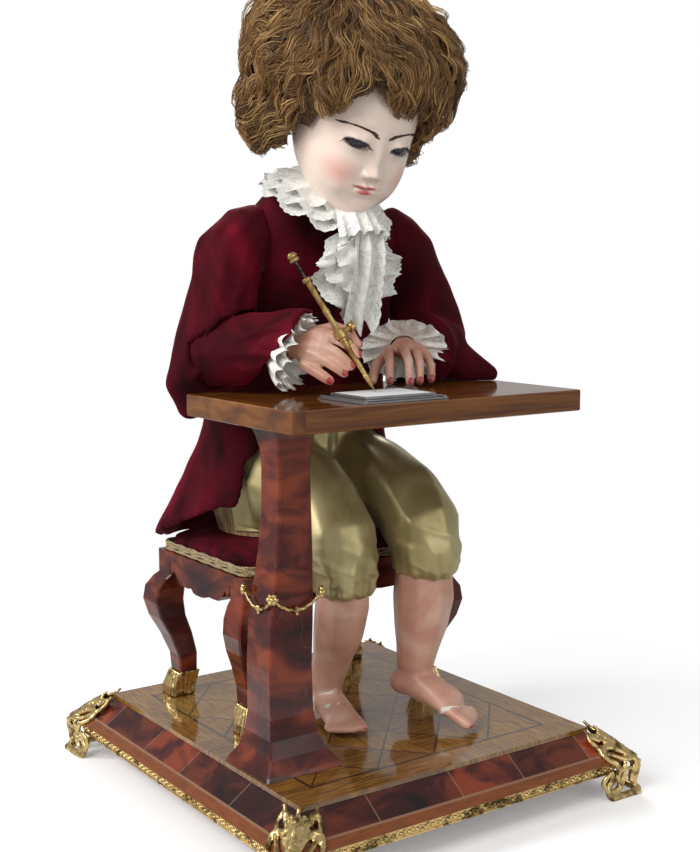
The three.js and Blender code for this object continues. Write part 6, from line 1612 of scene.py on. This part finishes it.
lace_finish, z_body = finish_of(
    "lace", 0.75, sheen_weight=0.25, transmission_weight=0.0, subsurface_weight=0.0, specular_ior_level=0.2,
)
z_uv = put(z_body, "UVMap", uv_map="thread").outputs["UV"]
z_run, z_deep, _ = split(z_uv)


def scallops(value, pitch):
    """1 on each crest and 0 in each hollow of a wave of the given pitch."""
    return calc("MULTIPLY_ADD", calc("COSINE", times(value, math.tau / pitch)), 0.5, 0.5)


z_cells = {"Vector": z_uv, "Scale": 1 / EYELET_PITCH, "Randomness": 0.35}
z_eyes = put(z_body, "TexVoronoi", z_cells).outputs["Distance"]
z_hole = remap(z_eyes, 0.30, 0.22)
z_flowers = mottle(z_uv, 150, 2, 1.6)
z_solid = remap(z_flowers, 0.47, 0.53)
z_edge = times(scallops(z_run, SCALLOP), LACE_EDGE)
z_left = minus(z_deep, z_edge)
z_band = near(z_left, 0.0011, 0.0011)
z_border = calc("MULTIPLY_ADD", near(z_left, 0.0055, 0.0045), 0.8, 0.2)
z_open = times(z_hole, minus(1.0, z_solid))
z_open = times(z_open, z_border)
z_picot = remap(z_left, 0.0, 0.00025)
z_cloth = calc("MAXIMUM", minus(1.0, times(z_open, 0.75)), z_band)
wire(z_body, "Alpha", times(z_cloth, z_picot))
z_relief = plus(times(z_solid, 0.6), minus(1.0, z_hole))
wire(z_body, "Base Color", ramp(z_solid, [(0, LACE_SHADE), (1, LACE_CREAM)]))
bump(z_body, z_relief, 0.6, 0.0005)


def lace_strip(shape, place, columns, rows, run_length, depth):
    """A strip of lace whose points come from place(run share, depth share), with its thread map in metres."""
    made = bmesh.ops.create_grid(shape, x_segments=columns, y_segments=rows, size=0.5)
    thread = shape.loops.layers.uv.get("thread") or shape.loops.layers.uv.new("thread")
    seen = set(made["verts"])
    shares = {vert: (vert.co.x + 0.5, vert.co.y + 0.5) for vert in seen}
    for face in shape.faces:
        if face.verts[0] in seen:
            for loop in face.loops:
                along, down = shares[loop.vert]
                loop[thread].uv = (along * run_length, (1 - down) * depth)
    for vert, (along, down) in shares.items():
        vert.co = place(along, down)


def sewn(name, shape, body, slot, held, flat, area, *nodes):
    """Finishes a lace piece; what flat strip it was cut from, its area and how it is held are given but not used."""
    piece = bodied(name, shape, lace_finish, body, slot, *nodes)


def frill_frame(axis, hint):
    """Three square directions: along an axis, as near a hint as can be, and across both."""
    along = Vector(axis).normalized()
    over = Vector(hint)
    over = (over - along * over.dot(along)).normalized()
    return along, over, over.cross(along)


def frill_ring(name, body, node, centre, axis, hint, inner, outer, reach, pleats, fold, layers, floor=None):
    """A ruffle gathered round a neck or wrist, as one or more rings of pleated lace."""
    along, over, side = frill_frame(axis, hint)
    shape = bmesh.new()
    middle = (inner[0] + outer[0] + inner[1] + outer[1]) / 4
    run_length = math.tau * middle * FULLNESS
    depth = math.hypot(outer[0] - inner[0], reach[1] - reach[0]) * 1.1
    rng = random.Random(len(name) * 7 + pleats)
    offsets = [rng.uniform(-0.5, 0.5) for _ in range(pleats + 1)]
    heights = [rng.uniform(0.65, 1.25) for _ in range(pleats + 1)]
    offsets[-1], heights[-1] = offsets[0], heights[0]
    for lift, size, shift in layers:
        def place(share, down, lift=lift, size=size, shift=shift):
            """A point of one ring: its share of the way round and down the depth."""
            turn = share * math.tau
            at = (share * pleats + shift) % pleats
            k = int(at)
            t = at - k
            high = heights[k] + (heights[k + 1] - heights[k]) * t
            jitter = offsets[k] + (offsets[k + 1] - offsets[k]) * t
            beat = math.sin((share * pleats + shift) * math.tau + jitter)
            sway = math.cos((share * pleats + shift) * math.tau + jitter)
            bend = ease(down * 1.25)
            wide = inner[0] + (outer[0] * size - inner[0]) * down ** 0.9
            tall = inner[1] + (outer[1] * size - inner[1]) * down ** 0.9
            rise = reach[0] + (reach[1] - reach[0]) * down + lift + beat * fold * high * bend
            turn += sway * fold * 0.55 * bend / max(middle, 0.01) * 0.8
            grow = 1 + 0.02 * sway * bend * high
            made = Vector(centre) + side * math.cos(turn) * wide * grow + over * math.sin(turn) * tall * grow
            made += along * rise
            if floor is not None and made.z < floor:
                made.z = floor + (made.z - floor) * 0.02
            return made
        lace_strip(shape, place, pleats * COLUMNS_IN_PLEAT, FRILL_ROWS, run_length, depth)
    bmesh.ops.remove_doubles(shape, verts=shape.verts, dist=0.00001)
    area = sum(face.calc_area() for face in shape.faces)
    flat = (run_length, depth * len(layers))
    sewn(name, shape, body, "lace", "gathered", flat, min(area, flat[0] * flat[1]), node)


TABLE_LEVEL = table_high.z + TABLE_CLEARANCE
COLLAR_AXIS = Vector((0.18, -0.55, 1))
frill_ring(
    "lace_collar", "plinth", "collar_ruffle", (-0.014, -0.006, 0.524), COLLAR_AXIS, (0, 1, 0), (0.031, 0.031),
    (0.061, 0.053), (0.003, -0.007), 12, 0.0042, [(0.0, 1.0, 0.0), (0.006, 0.86, 0.4), (-0.005, 1.06, 0.7)],
)
WRIST = Vector((-0.082, -0.052, 0.397))
CUFF_AXIS = (WRIST - ELBOW).normalized()
CUFF_AT = ELBOW.lerp(WRIST, 0.86)
frill_ring(
    "lace_cuff_right", "forearm", "cuff_right", CUFF_AT, CUFF_AXIS + Vector((0.6, -0.42, -0.68)) * 0.8,
    (0, 0, 1), (0.016, 0.016), (0.035, 0.034), (-0.010, 0.013), 13, 0.0042,
    [(0.0, 1.0, 0.0), (0.005, 0.9, 0.5)], floor=TABLE_LEVEL,
)
frill_ring(
    "lace_cuff_left", "plinth", "cuff_left", (0.066, -0.005, 0.390), (-0.5, -0.84, -0.25), (0, 0, 1), (0.0125, 0.011),
    (0.040, 0.0285), (0.004, 0.014), 13, 0.0042, [(0.0, 1.0, 0.0), (-0.005, 0.92, 0.5)], floor=TABLE_LEVEL,
)

JABOT_TOP, JABOT_TIP = 0.4968, 0.411
JABOT_SHARES = [(0, 0.40), (0.14, 0.66), (0.32, 0.96), (0.48, 1.0), (0.64, 0.82), (0.8, 0.52), (0.92, 0.3), (1, 0.14)]
JABOT_HALF = 0.045
JABOT_SET_BACK = 0.008
JABOT_FLAT_WIDTH = 0.24
THROAT_X = -0.014
# The depth of a flounce's waves outwards and upwards, and how far forward the flounces and folds lie
FLOUNCE_WAVE, FLOUNCE_LIFT = 0.0058, 0.0030
FLOUNCES_Y, FOLDS_Y, BOW_Y = -0.0450, -0.0600, -0.050


def width_at(down):
    """The jabot's width at a share of its length, as a share of its widest."""
    for (d0, w0), (d1, w1) in zip(JABOT_SHARES, JABOT_SHARES[1:]):
        if down <= d1:
            return w0 + (w1 - w0) * ease((down - d0) / (d1 - d0))
    return JABOT_SHARES[-1][1]


jabot_shape = bmesh.new()
for side in (-1, 1):
    for row in range(3):
        def flounce(share, down, side=side, row=row):
            """A point of one flounce: its share of the way down the jabot and out from it."""
            wide = width_at(share) * JABOT_HALF * (1.04 - 0.2 * row)
            inward = 0.22 * wide
            beat = share * math.tau * (2.3 + 0.3 * row) + row * 1.7 + side * 0.8
            open_out = ease(down * 1.1)
            out = inward + (wide - inward) * down * (1 + 0.07 * math.sin(beat * 2))
            z = JABOT_TOP + 0.004 + (JABOT_TIP - JABOT_TOP) * share * (1 - 0.08 * row) - 0.010 * down * (1 - share)
            y = FLOUNCES_Y - 0.0040 * row + math.sin(beat) * FLOUNCE_WAVE * open_out
            y -= 0.004 * math.sin(share * math.pi)
            y += JABOT_SET_BACK * share * share
            return Vector((THROAT_X + side * out, y, z + math.cos(beat) * FLOUNCE_LIFT * open_out))
        lace_strip(jabot_shape, flounce, 130, 16, 0.17, 0.036)


def centre_folds(share, down):
    """The two long folds down the middle, full at the foot."""
    across = (down - 0.5) * 2
    half = (0.0115 + 0.0075 * math.sin(share * math.pi * 0.62)) * (1 - 0.35 * ease((share - 0.85) / 0.15))
    pleat = math.cos(across * math.pi * 2.0 + 0.35 * math.sin(share * 7))
    deep = 0.0042 + 0.0016 * math.sin(share * 5)
    x = THROAT_X + across * half + 0.0016 * math.sin(share * 6 + across)
    reach = 0.97 + 0.07 * math.cos(across * math.pi * 2.0)
    z = JABOT_TOP + 0.010 + (JABOT_TIP - 0.004 - JABOT_TOP - 0.010) * share * reach
    set_back = JABOT_SET_BACK * 1.5 * share * share
    return Vector((x, FOLDS_Y + set_back + 0.009 * (1 - ease(share * 3)) + pleat * -deep * ease(share * 5), z))


lace_strip(jabot_shape, centre_folds, 90, 60, 0.09, 0.06)


def throat_bow(share, down):
    """The short gathered fall under the chin, over the head of the jabot."""
    across = (share - 0.5) * 2
    pleat = math.sin(share * math.tau * 4.5)
    x = THROAT_X + across * (0.020 + 0.006 * down)
    z = JABOT_TOP + 0.020 - 0.026 * down - 0.006 * across * across + 0.002 * pleat * down
    return Vector((x, BOW_Y - 0.016 * down - 0.003 * pleat * down + 0.010 * across * across, z))


lace_strip(jabot_shape, throat_bow, 90, 14, 0.09, 0.028)
jabot_area = sum(face.calc_area() for face in jabot_shape.faces)
JABOT_FLAT = (JABOT_FLAT_WIDTH, jabot_area * 1.25 / JABOT_FLAT_WIDTH)
sewn("lace_jabot", jabot_shape, "plinth", "lace", "gathered", JABOT_FLAT, jabot_area, "jabot")
